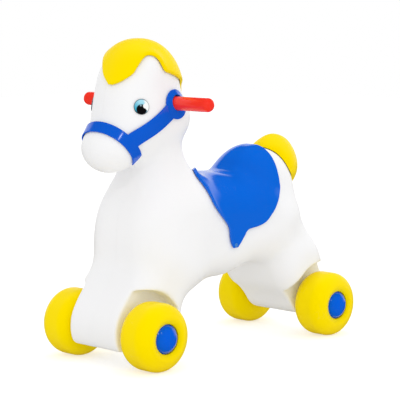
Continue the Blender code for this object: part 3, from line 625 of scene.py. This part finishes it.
def moulding(name, points, quads, thickness, rim, gap, look, slot, stands_for, raised=0.0, **fit):
    """A shell that follows the skin under a sheet, with a rounded rim.

    Its inner side is the sheet lifted by the gap. Its outer side is lifted by the gap, the thickness and
    what is raised, less r - sqrt(r^2 - (r - d)^2) at the distance d < r from the outline, where r is the rim.
    """
    edges = rim_edges(quads)
    outline = points[np.unique(edges)]
    middles = points[edges].mean(1)
    marks = np.concatenate([outline, middles])
    parts = np.array_split(points, max(1, len(points) * len(marks) // 8_000_000))
    nearest = np.concatenate([np.linalg.norm(part[:, None] - marks, axis=-1).min(1) for part in parts])
    short = np.maximum(rim - nearest, 0.0)
    drop = rim - np.sqrt(np.maximum(rim**2 - short**2, 0.0))
    inner = lift(points, gap)
    outer = lift(inner, gap + thickness + raised - drop)
    count = len(points)
    side = np.stack([edges[:, 1], edges[:, 0], edges[:, 0] + count, edges[:, 1] + count], 1)
    solid = np.concatenate([quads, quads[:, ::-1] + count, side])
    both = np.concatenate([outer, inner])
    return make_piece(name, both, solid, look, "pony", slot, stands_for, close=True, **fit)


YELLOW = plastic(
    "yellow_plastic",
    linear(255, 226, 0),
    linear(254, 219, 0),
    roughness=0.38,
    gloss=0.2,
    grain=0.2,
    scuffs=0.15,
    tint=YELLOW_LIGHT,
)
table = smooth_rows(MANE_EDGE, MANE_ROWS)
angle = np.radians(table[:, :1])
x = table[:, 1:2] + (table[:, 2:3] - table[:, 1:2]) * gathered(MANE_COLUMNS)
flat = np.ones_like(x)
starts = np.stack([x, MANE_AXIS[0] * flat, MANE_AXIS[1] * flat], -1)
directions = np.stack([np.zeros_like(x), -np.cos(angle) * flat, np.sin(angle) * flat], -1)
points = skin_along(starts, directions).reshape(-1, 3)
moulding(
    "mane_moulding",
    points,
    sheet_quads(MANE_ROWS, MANE_COLUMNS),
    MANE_THICKNESS,
    MANE_RIM,
    TRIM_GAP + GAP,
    YELLOW,
    "yellow_plastic",
    "mane",
)

# The tail. A hollow yellow crest that stands on the rump, pegged into it. In side view it is a curved
# flame, thickest halfway. Across, it is an oval that flares towards the rump and follows it at its root.
TAIL_CENTRE = (RUMP_Y, 0.248)
# Angle in degrees, inner and outer distance from the centre, half-width.
TAIL_SHAPE = (
    (78, 0.062, 0.066, 0.008),
    (74, 0.060, 0.077, 0.017),
    (67, 0.052, 0.0905, 0.027),
    (58, 0.042, 0.101, 0.036),
    (45, 0.034, 0.1085, 0.043),
    (31, 0.032, 0.1075, 0.044),
    (18, 0.040, 0.103, 0.037),
    (8, 0.060, 0.0995, 0.023),
    (0, 0.086, 0.095, 0.007),
)
TAIL_FLARE = 0.4
TAIL_RINGS = 97
TAIL_SIDES = 48
TAIL_CAP_RINGS = 6.0


def tube_quads(rings, sides):
    """Quads over rings of points stored ring by ring, each ring closed on itself."""
    ring, side = np.meshgrid(np.arange(rings - 1), np.arange(sides), indexing="ij")
    here = ring * sides + side
    beside = ring * sides + (side + 1) % sides
    return np.stack([here, beside, beside + sides, here + sides], -1).reshape(-1, 4)


table = smooth_rows(TAIL_SHAPE, TAIL_RINGS)
middle = (table[:, 1:2] + table[:, 2:3]) / 2.0
half = (table[:, 2:3] - table[:, 1:2]) / 2.0
half_width = table[:, 3:4]
angle = np.radians(table[:, :1])
from_end = np.minimum(np.arange(TAIL_RINGS), np.arange(TAIL_RINGS)[::-1])[:, None]
cap = from_end / TAIL_CAP_RINGS
closing = np.sqrt(1.0 - (1.0 - np.minimum(cap, 1.0)) ** 2)
around = 2.0 * np.pi * np.arange(TAIL_SIDES) / TAIL_SIDES
distance = middle + closing * half * np.cos(around)
x = closing * half_width * np.sin(around) * (1.0 - TAIL_FLARE * np.cos(around))
y = TAIL_CENTRE[0] + distance * np.cos(angle)
z = TAIL_CENTRE[1] + distance * np.sin(angle)
points = np.stack([x, y, z], -1).reshape(-1, 3)
buried = skin(points) < TRIM_GAP
points = np.where(buried[:, None], lift(points, TRIM_GAP), points)
quads = tube_quads(TAIL_RINGS, TAIL_SIDES)
make_piece("tail_crest", points, quads, YELLOW, "pony", "yellow_plastic", "tail", close=True)

# The saddle. A blue moulded shell laid over the trunk and held by a rivet through the end of each flap.
# It spreads in front into two wings, and each flap narrows to a round tab. Its front edge stands a little
# proud, and it is thicker where the child sits.
SADDLE_THICKNESS = 0.003
SADDLE_RIM = 0.0014
SADDLE_LIP = 0.0008
SEAT_SWELL = 0.0018
LIP_WIDTH = 0.0016
LIP_FADE = 0.004
SEAT_SPREAD = 0.7
SADDLE_AXIS_Z = 0.215
SADDLE_ROWS = 361
SADDLE_COLUMNS = 61
# Angle about the trunk from straight up in degrees, front edge y, rear edge y.
SADDLE_EDGE = (
    (0, -0.042, 0.110),
    (12, -0.047, 0.110),
    (24, -0.063, 0.110),
    (34, -0.0745, 0.110),
    (43, -0.0735, 0.110),
    (52, -0.068, 0.110),
    (61, -0.064, 0.108),
    (72, -0.058, 0.098),
    (82, -0.047, 0.085),
    (92, -0.0335, 0.071),
    (99, -0.0255, 0.059),
    (103, -0.0225, 0.043),
    (106, -0.0215, 0.021),
    (113, -0.0200, 0.012),
    (119, -0.0170, 0.004),
    (123, -0.0125, -0.003),
)
edge = np.array(SADDLE_EDGE, float)
table = smooth_rows(np.concatenate([edge[:0:-1] * (-1, 1, 1), edge]), SADDLE_ROWS)
angle = np.radians(table[:, :1])
y = table[:, 1:2] + gathered(SADDLE_COLUMNS) * (table[:, 2:3] - table[:, 1:2])
flat = np.ones_like(y)
starts = np.stack([np.zeros_like(y), y, SADDLE_AXIS_Z * flat], -1)
directions = np.stack([np.sin(angle) * flat, np.zeros_like(y), np.cos(angle) * flat], -1)
points = skin_along(starts, directions).reshape(-1, 3)
behind_lip = np.maximum(y - table[:, 1:2] - LIP_WIDTH, 0.0)
lip = SADDLE_LIP * np.exp(-behind_lip / LIP_FADE)
seat_swell = SEAT_SWELL * np.exp(-((angle / SEAT_SPREAD) ** 2))
BLUE = plastic("blue_plastic", linear(0, 103, 222), linear(0, 99, 216), 0.12, 0.5, 0.1, 0.3)
moulding(
    "saddle_shell",
    points,
    sheet_quads(SADDLE_ROWS, SADDLE_COLUMNS),
    SADDLE_THICKNESS,
    SADDLE_RIM,
    TRIM_GAP,
    BLUE,
    "blue_plastic",
    "saddle",
    (lip + seat_swell).ravel(),
)

# The saddle's rivets. One blue push rivet through the end of each flap, with a ring round a dished middle.
# Their blue is paler than the saddle's: a painted highlight for the light ring round the rim.
RIVET_RADIUS = 0.0016
RIVET_HEAD_RADIUS = 0.0032
RIVET_HEAD_HEIGHT = 0.0014
RIVET_LENGTH = 0.013
RIVET_ROUNDING = 0.0009
RIVET_DISH_RADIUS = 0.0016
RIVET_DISH_HEIGHT = 0.45 * RIVET_HEAD_HEIGHT
RIVET_MIDDLE_HEIGHT = 0.42 * RIVET_HEAD_HEIGHT
RIVET_SEGMENTS = 32
RIVET_Y = -0.009
RIVET_Z = 0.171


def turned(profile, segments, origin, side=1.0):
    """The outline (x, r) turned about X: points (side x, r sin a, -r cos a) about the origin, and quads.

    side is 1 for a piece that points to the pony's left, -1 for one that points to its right.
    """
    profile = np.asarray(profile, float)
    angle = 2.0 * np.pi * (np.arange(segments) + 0.5)[:, None] / segments * side
    x = side * profile[:, 0] + 0.0 * angle
    points = np.stack([x, profile[:, 1] * np.sin(angle), -profile[:, 1] * np.cos(angle)], -1)
    count = len(profile)
    ring, corner = np.meshgrid(np.arange(segments), np.arange(count), indexing="ij")
    here = ring * count + corner
    ahead = ring * count + (corner + 1) % count
    beside = (ring + 1) % segments * count
    quads = np.stack([here, ahead, beside + (corner + 1) % count, beside + corner], -1)
    keep = (profile[:, 1] > 0.0) | (np.roll(profile[:, 1], -1) > 0.0)
    return points.reshape(-1, 3) + np.array(origin), quads[:, keep].reshape(-1, 4)


def arc(centre_x, centre_r, radius, start, end, count):
    """Points (x, r) on a circle, from the start angle to the end angle in degrees; 0 points along +x."""
    angle = np.radians(np.linspace(start, end, count))
    return np.stack([centre_x + radius * np.cos(angle), centre_r + radius * np.sin(angle)], -1)


ring_x = RIVET_HEAD_HEIGHT - RIVET_ROUNDING
ring_r = RIVET_HEAD_RADIUS - RIVET_ROUNDING
rivet = np.concatenate(
    [
        [(-RIVET_LENGTH, 0.0), (RIVET_RADIUS - RIVET_LENGTH, RIVET_RADIUS)],
        [(0.0, RIVET_RADIUS), (0.0, RIVET_HEAD_RADIUS)],
        arc(ring_x, ring_r, RIVET_ROUNDING, 90.0, -30.0, 9),
        [(RIVET_DISH_HEIGHT, RIVET_DISH_RADIUS), (RIVET_MIDDLE_HEIGHT, 0.0)],
    ]
)
# Paler blue than the saddle's: a painted highlight that stands for the light ring round each rivet's rim.
RIVET_BLUE_PAINTED_HIGHLIGHT = plastic("rivet_blue_painted_highlight", linear(70, 140, 215), linear(60, 130, 205), 0.35, 0.4, 0.1, 0.2)
seat = side_points(1, np.array([RIVET_Y]), np.array([RIVET_Z]))
seat = lift(seat, TRIM_GAP + SADDLE_THICKNESS)[0, 0] + GAP
for side, place in ((1.0, "left"), (-1.0, "right")):
    name, stands_for = "rivet_head_" + place, "saddle_rivet_" + place
    points, quads = turned(rivet, RIVET_SEGMENTS, (side * seat, RIVET_Y, RIVET_Z), side)
    make_piece(name, points, quads, RIVET_BLUE_PAINTED_HIGHLIGHT, "pony", "blue_plastic", stands_for, close=True)

# The bridle. One thin blue moulding glued to the head: a noseband open under the jaw, a strap up each
# cheek, and a rosette that the handle passes through, which rises to a low collar round the grip.
BRIDLE_THICKNESS = 0.002
BRIDLE_GAP = 0.001
BRIDLE_RIM = 0.0008
NOSEBAND_CENTRE = (0.0, HEAD_Y - 0.047, HEAD_Z - 0.0745)
NOSEBAND_LEAN = math.radians(41.0)
NOSEBAND_REACH = 107.0
NOSEBAND_REAR_REACH = 96.0
NOSEBAND_WIDTH = 0.0175
ROSETTE_RADIUS = 0.0225
ROSETTE_CLEARANCE = 0.0013
ROSETTE_RISE = 0.0045
ROSETTE_SHIFT = (0.0025, -0.0018)
ROSETTE_SLOPE = 1.3
STRAP_START = 51.0
STRAP_END = 76.5
ROSETTE_START = 0.0
ROSETTE_END = -67.5
BAND_COLUMNS = 337
BAND_ROWS = 17
RING_COLUMNS = 192
RING_ROWS = 15
STRAP_ROWS = 65
forward = np.array([0.0, -math.cos(NOSEBAND_LEAN), -math.sin(NOSEBAND_LEAN)])
upward = np.array([0.0, -math.sin(NOSEBAND_LEAN), math.cos(NOSEBAND_LEAN)])
turns = np.linspace(-NOSEBAND_REACH, NOSEBAND_REACH, BAND_COLUMNS)
reach = np.linspace(NOSEBAND_REAR_REACH, NOSEBAND_REACH, BAND_ROWS)
beyond = np.maximum(np.abs(turns)[:, None] - STRAP_END, 0.0)
shorter = (NOSEBAND_REACH - reach) / (NOSEBAND_REACH - STRAP_END)
angle = np.radians(turns[:, None] - np.sign(turns)[:, None] * beyond * shorter)[..., None]
outwards = np.sin(angle) * np.array([1.0, 0.0, 0.0]) + np.cos(angle) * upward
offsets = (gathered(BAND_ROWS) - 0.5) * NOSEBAND_WIDTH
starts = np.array(NOSEBAND_CENTRE) + offsets[None, :, None] * forward + np.zeros((BAND_COLUMNS, BAND_ROWS, 3))
band = skin_along(starts, outwards)
points = [band.reshape(-1, 3)]
raised = [np.zeros(band.shape[:-1]).ravel()]
quads = [sheet_quads(BAND_COLUMNS, BAND_ROWS)]
first = BAND_COLUMNS * BAND_ROWS
angle = 2.0 * np.pi * np.arange(RING_COLUMNS)[:, None] / RING_COLUMNS
hole = GRIP_RADIUS + ROSETTE_CLEARANCE
share = gathered(RING_ROWS)
radii = hole + (ROSETTE_RADIUS - hole) * share
cone = ROSETTE_RISE * (1.0 - share) ** ROSETTE_SLOPE
for side in (1, -1):
    ring_y = HANDLE_Y + share * ROSETTE_SHIFT[0] - radii * np.cos(angle)
    ring_z = HANDLE_Z + share * ROSETTE_SHIFT[1] + radii * np.sin(angle)
    disc = side_points(side, ring_y, ring_z)
    points.append(disc.reshape(-1, 3))
    raised.append((cone + np.zeros(disc.shape[:-1])).ravel())
    ring = sheet_quads(RING_COLUMNS, RING_ROWS, first, closed=True)
    quads.append(ring if side < 0 else ring[:, ::-1])
    first += RING_COLUMNS * RING_ROWS
    held = (turns >= STRAP_START - 1e-6) & (turns <= STRAP_END + 1e-6)
    low_end = band[held if side > 0 else held[::-1], 0]
    low_end = low_end if side > 0 else low_end[::-1]
    strips = len(low_end)
    joined = np.round(np.linspace(ROSETTE_START, ROSETTE_END, strips) / 360.0 * RING_COLUMNS).astype(int)
    high_end = disc[joined % RING_COLUMNS, -1]
    guide = low_end + np.linspace(0.0, 1.0, STRAP_ROWS)[:, None, None] * (high_end - low_end)
    strap = side_points(side, guide[..., 1], guide[..., 2])
    strap[0] = low_end
    strap[-1] = high_end
    points.append(strap.reshape(-1, 3))
    raised.append(np.zeros(strap.shape[:-1]).ravel())
    ribbon = sheet_quads(STRAP_ROWS, strips, first)
    quads.append(ribbon if side > 0 else ribbon[:, ::-1])
    first += STRAP_ROWS * strips
points, raised, quads = np.concatenate(points), np.concatenate(raised), np.concatenate(quads)
_, kept, number = np.unique(np.round(points, 6), axis=0, return_index=True, return_inverse=True)
points, raised, quads = points[kept], raised[kept], number.reshape(-1)[quads]
BRIDLE_BLUE = plastic("bridle_blue", linear(0, 92, 214), linear(0, 87, 206), 0.14, 0.5, 0.1, 0.2)
moulding(
    "bridle_moulding",
    points,
    quads,
    BRIDLE_THICKNESS,
    BRIDLE_RIM,
    BRIDLE_GAP,
    BRIDLE_BLUE,
    "blue_plastic",
    "bridle",
    raised,
)

# The eyes. Two printed labels on the cheeks. Each has a thin grey outline, a blue iris that pales towards
# the top and the back, a large black pupil at the bottom, and a white glint at the back.
EYE_RADIUS = 0.0118
EYE_THICKNESS = 0.0012
EYE_RIM = 0.0005
EYE_Y = HEAD_Y - 0.043
EYE_Z = HEAD_Z - 0.0012
EYE_COLUMNS = 96
EYE_ROWS = 25


def within(tree, point, centre, radius, soft):
    """1 inside a circle on the print and 0 outside it, over a soft border: (r + s/2 - |p - c|) / s."""
    middle = (centre[0], centre[1], 0.0)
    away = node(tree, "ShaderNodeVectorMath", (0, point), (1, middle), operation="DISTANCE").outputs["Value"]
    return mapped(tree, away, radius - soft / 2.0, radius + soft / 2.0, 1.0, 0.0)


def eye_print():
    """The printed eye, in units of its radius: u towards the back of the head, v upwards."""
    made, tree, output = new_material("printed_eye")
    point = node(tree, "ShaderNodeUVMap", uv_map="face_of_print").outputs[0]
    parts = node(tree, "ShaderNodeSeparateXYZ", (0, point))
    u, v = parts.outputs["X"], parts.outputs["Y"]
    up = mapped(tree, v, -0.25, 0.55)
    iris = mixed(tree, up, linear(45, 165, 195), linear(170, 226, 244))
    front = mapped(tree, u, -0.95, -0.25, 0.8, 0.0)
    iris = mixed(tree, front, iris, linear(52, 180, 212))
    leaning = math_node(tree, "ADD", u, math_node(tree, "MULTIPLY", v, 0.25))
    back = mapped(tree, leaning, 0.40, 0.66)
    colour = mixed(tree, back, iris, linear(248, 251, 250))
    colour = mixed(tree, within(tree, point, (-0.02, -0.36), 0.66, 0.10), colour, linear(10, 8, 12))
    colour = mixed(tree, within(tree, point, (0.50, 0.08), 0.32, 0.08), colour, linear(250, 252, 252))
    colour = mixed(tree, within(tree, point, (0.74, -0.20), 0.25, 0.08), colour, linear(248, 251, 250))
    colour = mixed(tree, within(tree, point, (-0.10, 0.16), 0.11, 0.12), colour, linear(150, 178, 190))
    ring = math_node(tree, "SUBTRACT", 1.0, within(tree, point, (0.0, 0.0), 0.905, 0.07))
    shade = mapped(tree, v, -0.75, 0.2)
    outline = mixed(tree, shade, linear(22, 30, 34), linear(104, 120, 134))
    pale = mapped(tree, u, 0.35, 0.9, 0.0, 0.75)
    outline = mixed(tree, pale, outline, linear(200, 205, 205))
    colour = mixed(tree, ring, colour, outline)
    film = node(tree, "ShaderNodeTexCoord").outputs["Object"]
    links = (("Point", film), ("Colour", colour), ("Deep Colour", colour))
    surface = node(tree, "ShaderNodeGroup", *links, node_tree=MOULDED_PLASTIC)
    surface.inputs["Roughness"].default_value = 0.3
    surface.inputs["Scuffs"].default_value = 0.0
    surface.inputs["Grain Height"].default_value = 0.1
    bump = node(tree, "ShaderNodeBump", ("Height", surface.outputs["Height"]), ("Distance", 0.00005))
    shader = node(
        tree,
        "ShaderNodeBsdfPrincipled",
        ("Base Color", surface.outputs["Colour"]),
        ("Roughness", surface.outputs["Roughness"]),
        ("Normal", bump.outputs[0]),
    )
    shader.inputs["Specular IOR Level"].default_value = 0.3
    tree.links.new(shader.outputs[0], output.inputs["Surface"])
    return made


EYE_PRINT = eye_print()
for side, place in ((1, "left"), (-1, "right")):
    centre = side_points(side, np.array([EYE_Y]), np.array([EYE_Z]))[0]
    normal = gradient(skin, centre)
    normal = normal / np.linalg.norm(normal)
    across = np.cross(normal, (0.0, 0.0, 1.0))
    across = across / np.linalg.norm(across)
    rising = np.cross(across, normal)
    angle = 2.0 * np.pi * np.arange(EYE_COLUMNS)[:, None] / EYE_COLUMNS
    share = np.sin(0.5 * np.pi * np.linspace(0.0, 1.0, EYE_ROWS))
    right, up = share * np.cos(angle), share * np.sin(angle)
    points = centre + EYE_RADIUS * (right[..., None] * across + up[..., None] * rising)
    quads = sheet_quads(EYE_COLUMNS, EYE_ROWS, closed=True)
    # Across points to the front on the left side and to the back on the right side.
    towards_back = right * (-1.0 if across[1] < 0.0 else 1.0)
    pattern = np.stack([towards_back, up], -1).reshape(-1, 2)
    moulding(
        "eye_label_" + place,
        points.reshape(-1, 3),
        quads,
        EYE_THICKNESS,
        EYE_RIM,
        2.0 * GAP,
        EYE_PRINT,
        "eye_print",
        "eye_" + place,
        uv=np.concatenate([pattern, pattern]),
    )

# The handle. A steel tube runs through the head, and a red grip is pushed onto each end of it. A grip is a
# plain round sleeve with a domed end and a small gate mark on it, and it starts inside the head.
HANDLE_LENGTH = 0.281
TUBE_RADIUS = 0.0055
TUBE_END_INSET = 0.016
GRIP_ROUNDING = 0.0085
GRIP_ENTRY = 0.011
GRIP_PLAIN = 0.006
GATE_RADIUS = 0.0016
GATE_DEPTH = 0.0003
GRIP_SEGMENTS = 96
end = HANDLE_LENGTH / 2.0
tube_end = end - TUBE_END_INSET
hole = TUBE_RADIUS + GAP
cheek = side_points(1, np.array([HANDLE_Y]), np.array([HANDLE_Z]))[0, 0]
grip = np.concatenate(
    [
        [(cheek - GRIP_ENTRY, hole), (cheek - GRIP_ENTRY, GRIP_RADIUS), (cheek + GRIP_PLAIN, GRIP_RADIUS)],
        arc(end - GRIP_ROUNDING, GRIP_RADIUS - GRIP_ROUNDING, GRIP_ROUNDING, 90.0, 0.0, 21),
        [(end, GATE_RADIUS), (end - GATE_DEPTH, GATE_RADIUS - GATE_DEPTH), (end - GATE_DEPTH, 0.0)],
        [(tube_end + GAP, 0.0), (tube_end + GAP, hole)],
    ]
)
RED = plastic("red_grip", linear(252, 52, 34), linear(248, 44, 28), 0.18, 0.45, 0.2, 0.3)
for side, place in ((1.0, "left"), (-1.0, "right")):
    points, quads = turned(grip, GRIP_SEGMENTS, (0.0, HANDLE_Y, HANDLE_Z), side)
    make_piece("grip_sleeve_" + place, points, quads, RED, "pony", "red_plastic", "grip_" + place, close=True)

# The wheels. Each is a hollow blow moulding with a narrow tread and round shoulders, dished on the outside
# towards the hub cap. It turns on a nylon bush on the steel axle and is kept on by a push nut.
TREAD_WIDTH = 0.018
WHEEL_WALL = 0.003
WHEEL_BACK_RADIUS = 0.0252
WHEEL_BACK_CORNER = 0.033
WHEEL_FACE_RADIUS = 0.0305
BUSH_RADIUS = 0.0075
CAP_RADIUS = 0.0228
CAP_HEIGHT = 0.0134
CAP_WALL = 0.0018
CAP_PROUD = 0.0048
CAP_SEAT = 0.0016
CAP_BASE = WHEEL_WIDTH / 2.0 + CAP_PROUD - CAP_HEIGHT
WHEEL_SEGMENTS = 128
SHOULDER_STEPS = 25
INNER_STEPS = 13
FACE_STEPS = 13
BACK_STEPS = 9


def wheel_outline(half, radius, count):
    """Points (x, r) from the tread's middle round one side: a flat tread, then a squared quarter ellipse.

    x = t + (h - t) sin(a)^0.95 and r = R cos(a)^0.52, for a from 0 to 60 degrees.
    """
    angle = np.radians(np.linspace(0.0, 60.0, count))
    tread = TREAD_WIDTH / 2.0
    x = tread + (half - tread) * np.sin(angle) ** 0.95
    return np.concatenate([[(0.0, radius)], np.stack([x, radius * np.cos(angle) ** 0.52], -1)])


def bend(start, corner, end, count):
    """A smooth curve from start to end that heads for the corner: (1-t)^2 a + 2 t (1-t) b + t^2 c."""
    t = np.linspace(0.0, 1.0, count)[:, None]
    start, corner, end = np.array(start), np.array(corner), np.array(end)
    return (1.0 - t) ** 2 * start + 2.0 * t * (1.0 - t) * corner + t**2 * end


half = WHEEL_WIDTH / 2.0
lip = CAP_RADIUS + GAP
recess = CAP_BASE - GAP
shoulder = wheel_outline(half, WHEEL_RADIUS, SHOULDER_STEPS)
last = shoulder[-1]
face = bend(last, (half, WHEEL_FACE_RADIUS), (recess + 2.0 * CAP_SEAT, lip), FACE_STEPS)
inside = wheel_outline(half - WHEEL_WALL, WHEEL_RADIUS - WHEEL_WALL, INNER_STEPS)
outer_edge = last * (-1.0, 1.0)
back = bend((-half, WHEEL_BACK_RADIUS), (-half, WHEEL_BACK_CORNER), outer_edge, BACK_STEPS)
wheel = np.concatenate(
    [
        [(-half, BUSH_RADIUS + GAP)],
        back[:-1],
        shoulder[:0:-1] * (-1.0, 1.0),
        shoulder,
        face[1:],
        [(recess, lip), (recess, BUSH_RADIUS + GAP)],
        [(recess - WHEEL_WALL, BUSH_RADIUS + GAP), (recess - WHEEL_WALL, lip + WHEEL_WALL)],
        inside[::-1],
        inside[1:] * (-1.0, 1.0),
        [(WHEEL_WALL - half, WHEEL_BACK_RADIUS), (WHEEL_WALL - half, BUSH_RADIUS + GAP)],
    ]
)
WHEEL_YELLOW = plastic(
    "wheel_yellow",
    linear(255, 228, 0),
    linear(254, 220, 0),
    roughness=0.36,
    gloss=0.2,
    grain=0.35,
    scuffs=0.5,
    tint=YELLOW_LIGHT,
)
bodies = {}
for end, ends in ((-1.0, "front"), (1.0, "rear")):
    for side, hand in ((1.0, "left"), (-1.0, "right")):
        place = f"{ends}_{hand}"
        bodies[place] = (side, (side * TRACK / 2.0, end * WHEELBASE / 2.0, WHEEL_RADIUS))
        points, quads = turned(wheel, WHEEL_SEGMENTS, bodies[place][1], side)
        name, body, stands_for = "tyre_" + place, place + "_wheel", "wheel_" + place
        make_piece(name, points, quads, WHEEL_YELLOW, body, "yellow_plastic", stands_for, close=True)

# The hub caps. A blue moulded dome on each wheel, a part of a hollow ball, pressed into the round recess in
# the wheel's face. It hides the push nut and the end of the axle. Its blue is mixed brighter than the
# saddle's to make up for the lesser light on the caps: painted light.
CAP_STEPS = 33
CAP_INNER_STEPS = 17
CAP_SEGMENTS = 96
sphere = (CAP_RADIUS**2 + CAP_HEIGHT**2) / (2.0 * CAP_HEIGHT)
centre = CAP_BASE + CAP_HEIGHT - sphere
opening = math.degrees(math.asin(CAP_RADIUS / sphere))
inner_rim = math.sqrt((sphere - CAP_WALL) ** 2 - (CAP_BASE - centre) ** 2)
inner_opening = math.degrees(math.asin(inner_rim / (sphere - CAP_WALL)))
dome = np.concatenate(
    [
        arc(centre, 0.0, sphere, opening, 0.0, CAP_STEPS),
        arc(centre, 0.0, sphere - CAP_WALL, 0.0, inner_opening, CAP_INNER_STEPS),
    ]
)
dome[[CAP_STEPS - 1, CAP_STEPS], 1] = 0.0
# A brighter blue than the saddle's, raised to make up for the lesser light that falls on the caps: painted
# light.
CAP_BLUE_PAINTED_LIGHT = plastic("hub_cap_blue_painted_light", linear(0, 97, 226), linear(0, 92, 216), 0.10, 0.5, 0.05, 0.3)
for place, (side, origin) in bodies.items():
    points, quads = turned(dome, CAP_SEGMENTS, origin, side)
    body, stands_for = place + "_wheel", "hub_cap_" + place
    make_piece("cap_" + place, points, quads, CAP_BLUE_PAINTED_LIGHT, body, "blue_plastic", stands_for, close=True)

# The hidden running gear: the handle's tube, two axles, four nylon bushes and four push nuts. They keep the
# frame's own shapes and get the finishes of zinc-plated steel and of natural nylon.


def plated_steel():
    """Bright zinc plate: drawn along X, so its fine streaks are noise stretched 60 times that way."""
    made, tree, output = new_material("plated_steel")
    point = node(tree, "ShaderNodeTexCoord").outputs["Object"]
    drawn = node(tree, "ShaderNodeMapping", ("Vector", point), ("Scale", (40.0, 2400.0, 2400.0))).outputs[0]
    streaks = noise(tree, drawn, 1.0, 3.0)
    clouds = noise(tree, point, 90.0, 2.0)
    colour = mixed(tree, clouds, (0.58, 0.60, 0.63, 1.0), (0.46, 0.47, 0.49, 1.0))
    rough = mapped(tree, streaks, 0.3, 0.7, 0.22, 0.38)
    bump = node(tree, "ShaderNodeBump", ("Height", streaks), ("Distance", 0.00003))
    links = (("Base Color", colour), ("Roughness", rough), ("Normal", bump.outputs[0]))
    shader = node(tree, "ShaderNodeBsdfPrincipled", *links)
    shader.inputs["Metallic"].default_value = 1.0
    tree.links.new(shader.outputs[0], output.inputs["Surface"])
    return made


STEEL = plated_steel()
NYLON = plastic(
    "natural_nylon", (0.60, 0.60, 0.57, 1.0), (0.54, 0.54, 0.50, 1.0), 0.5, 0.4, 0.3, 0.2, cloud=0.02
)
for name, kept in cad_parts.items():
    if not kept.hide_render:
        kept.data.materials.clear()
        kept.data.materials.append(NYLON if name.startswith("bush") else STEEL)
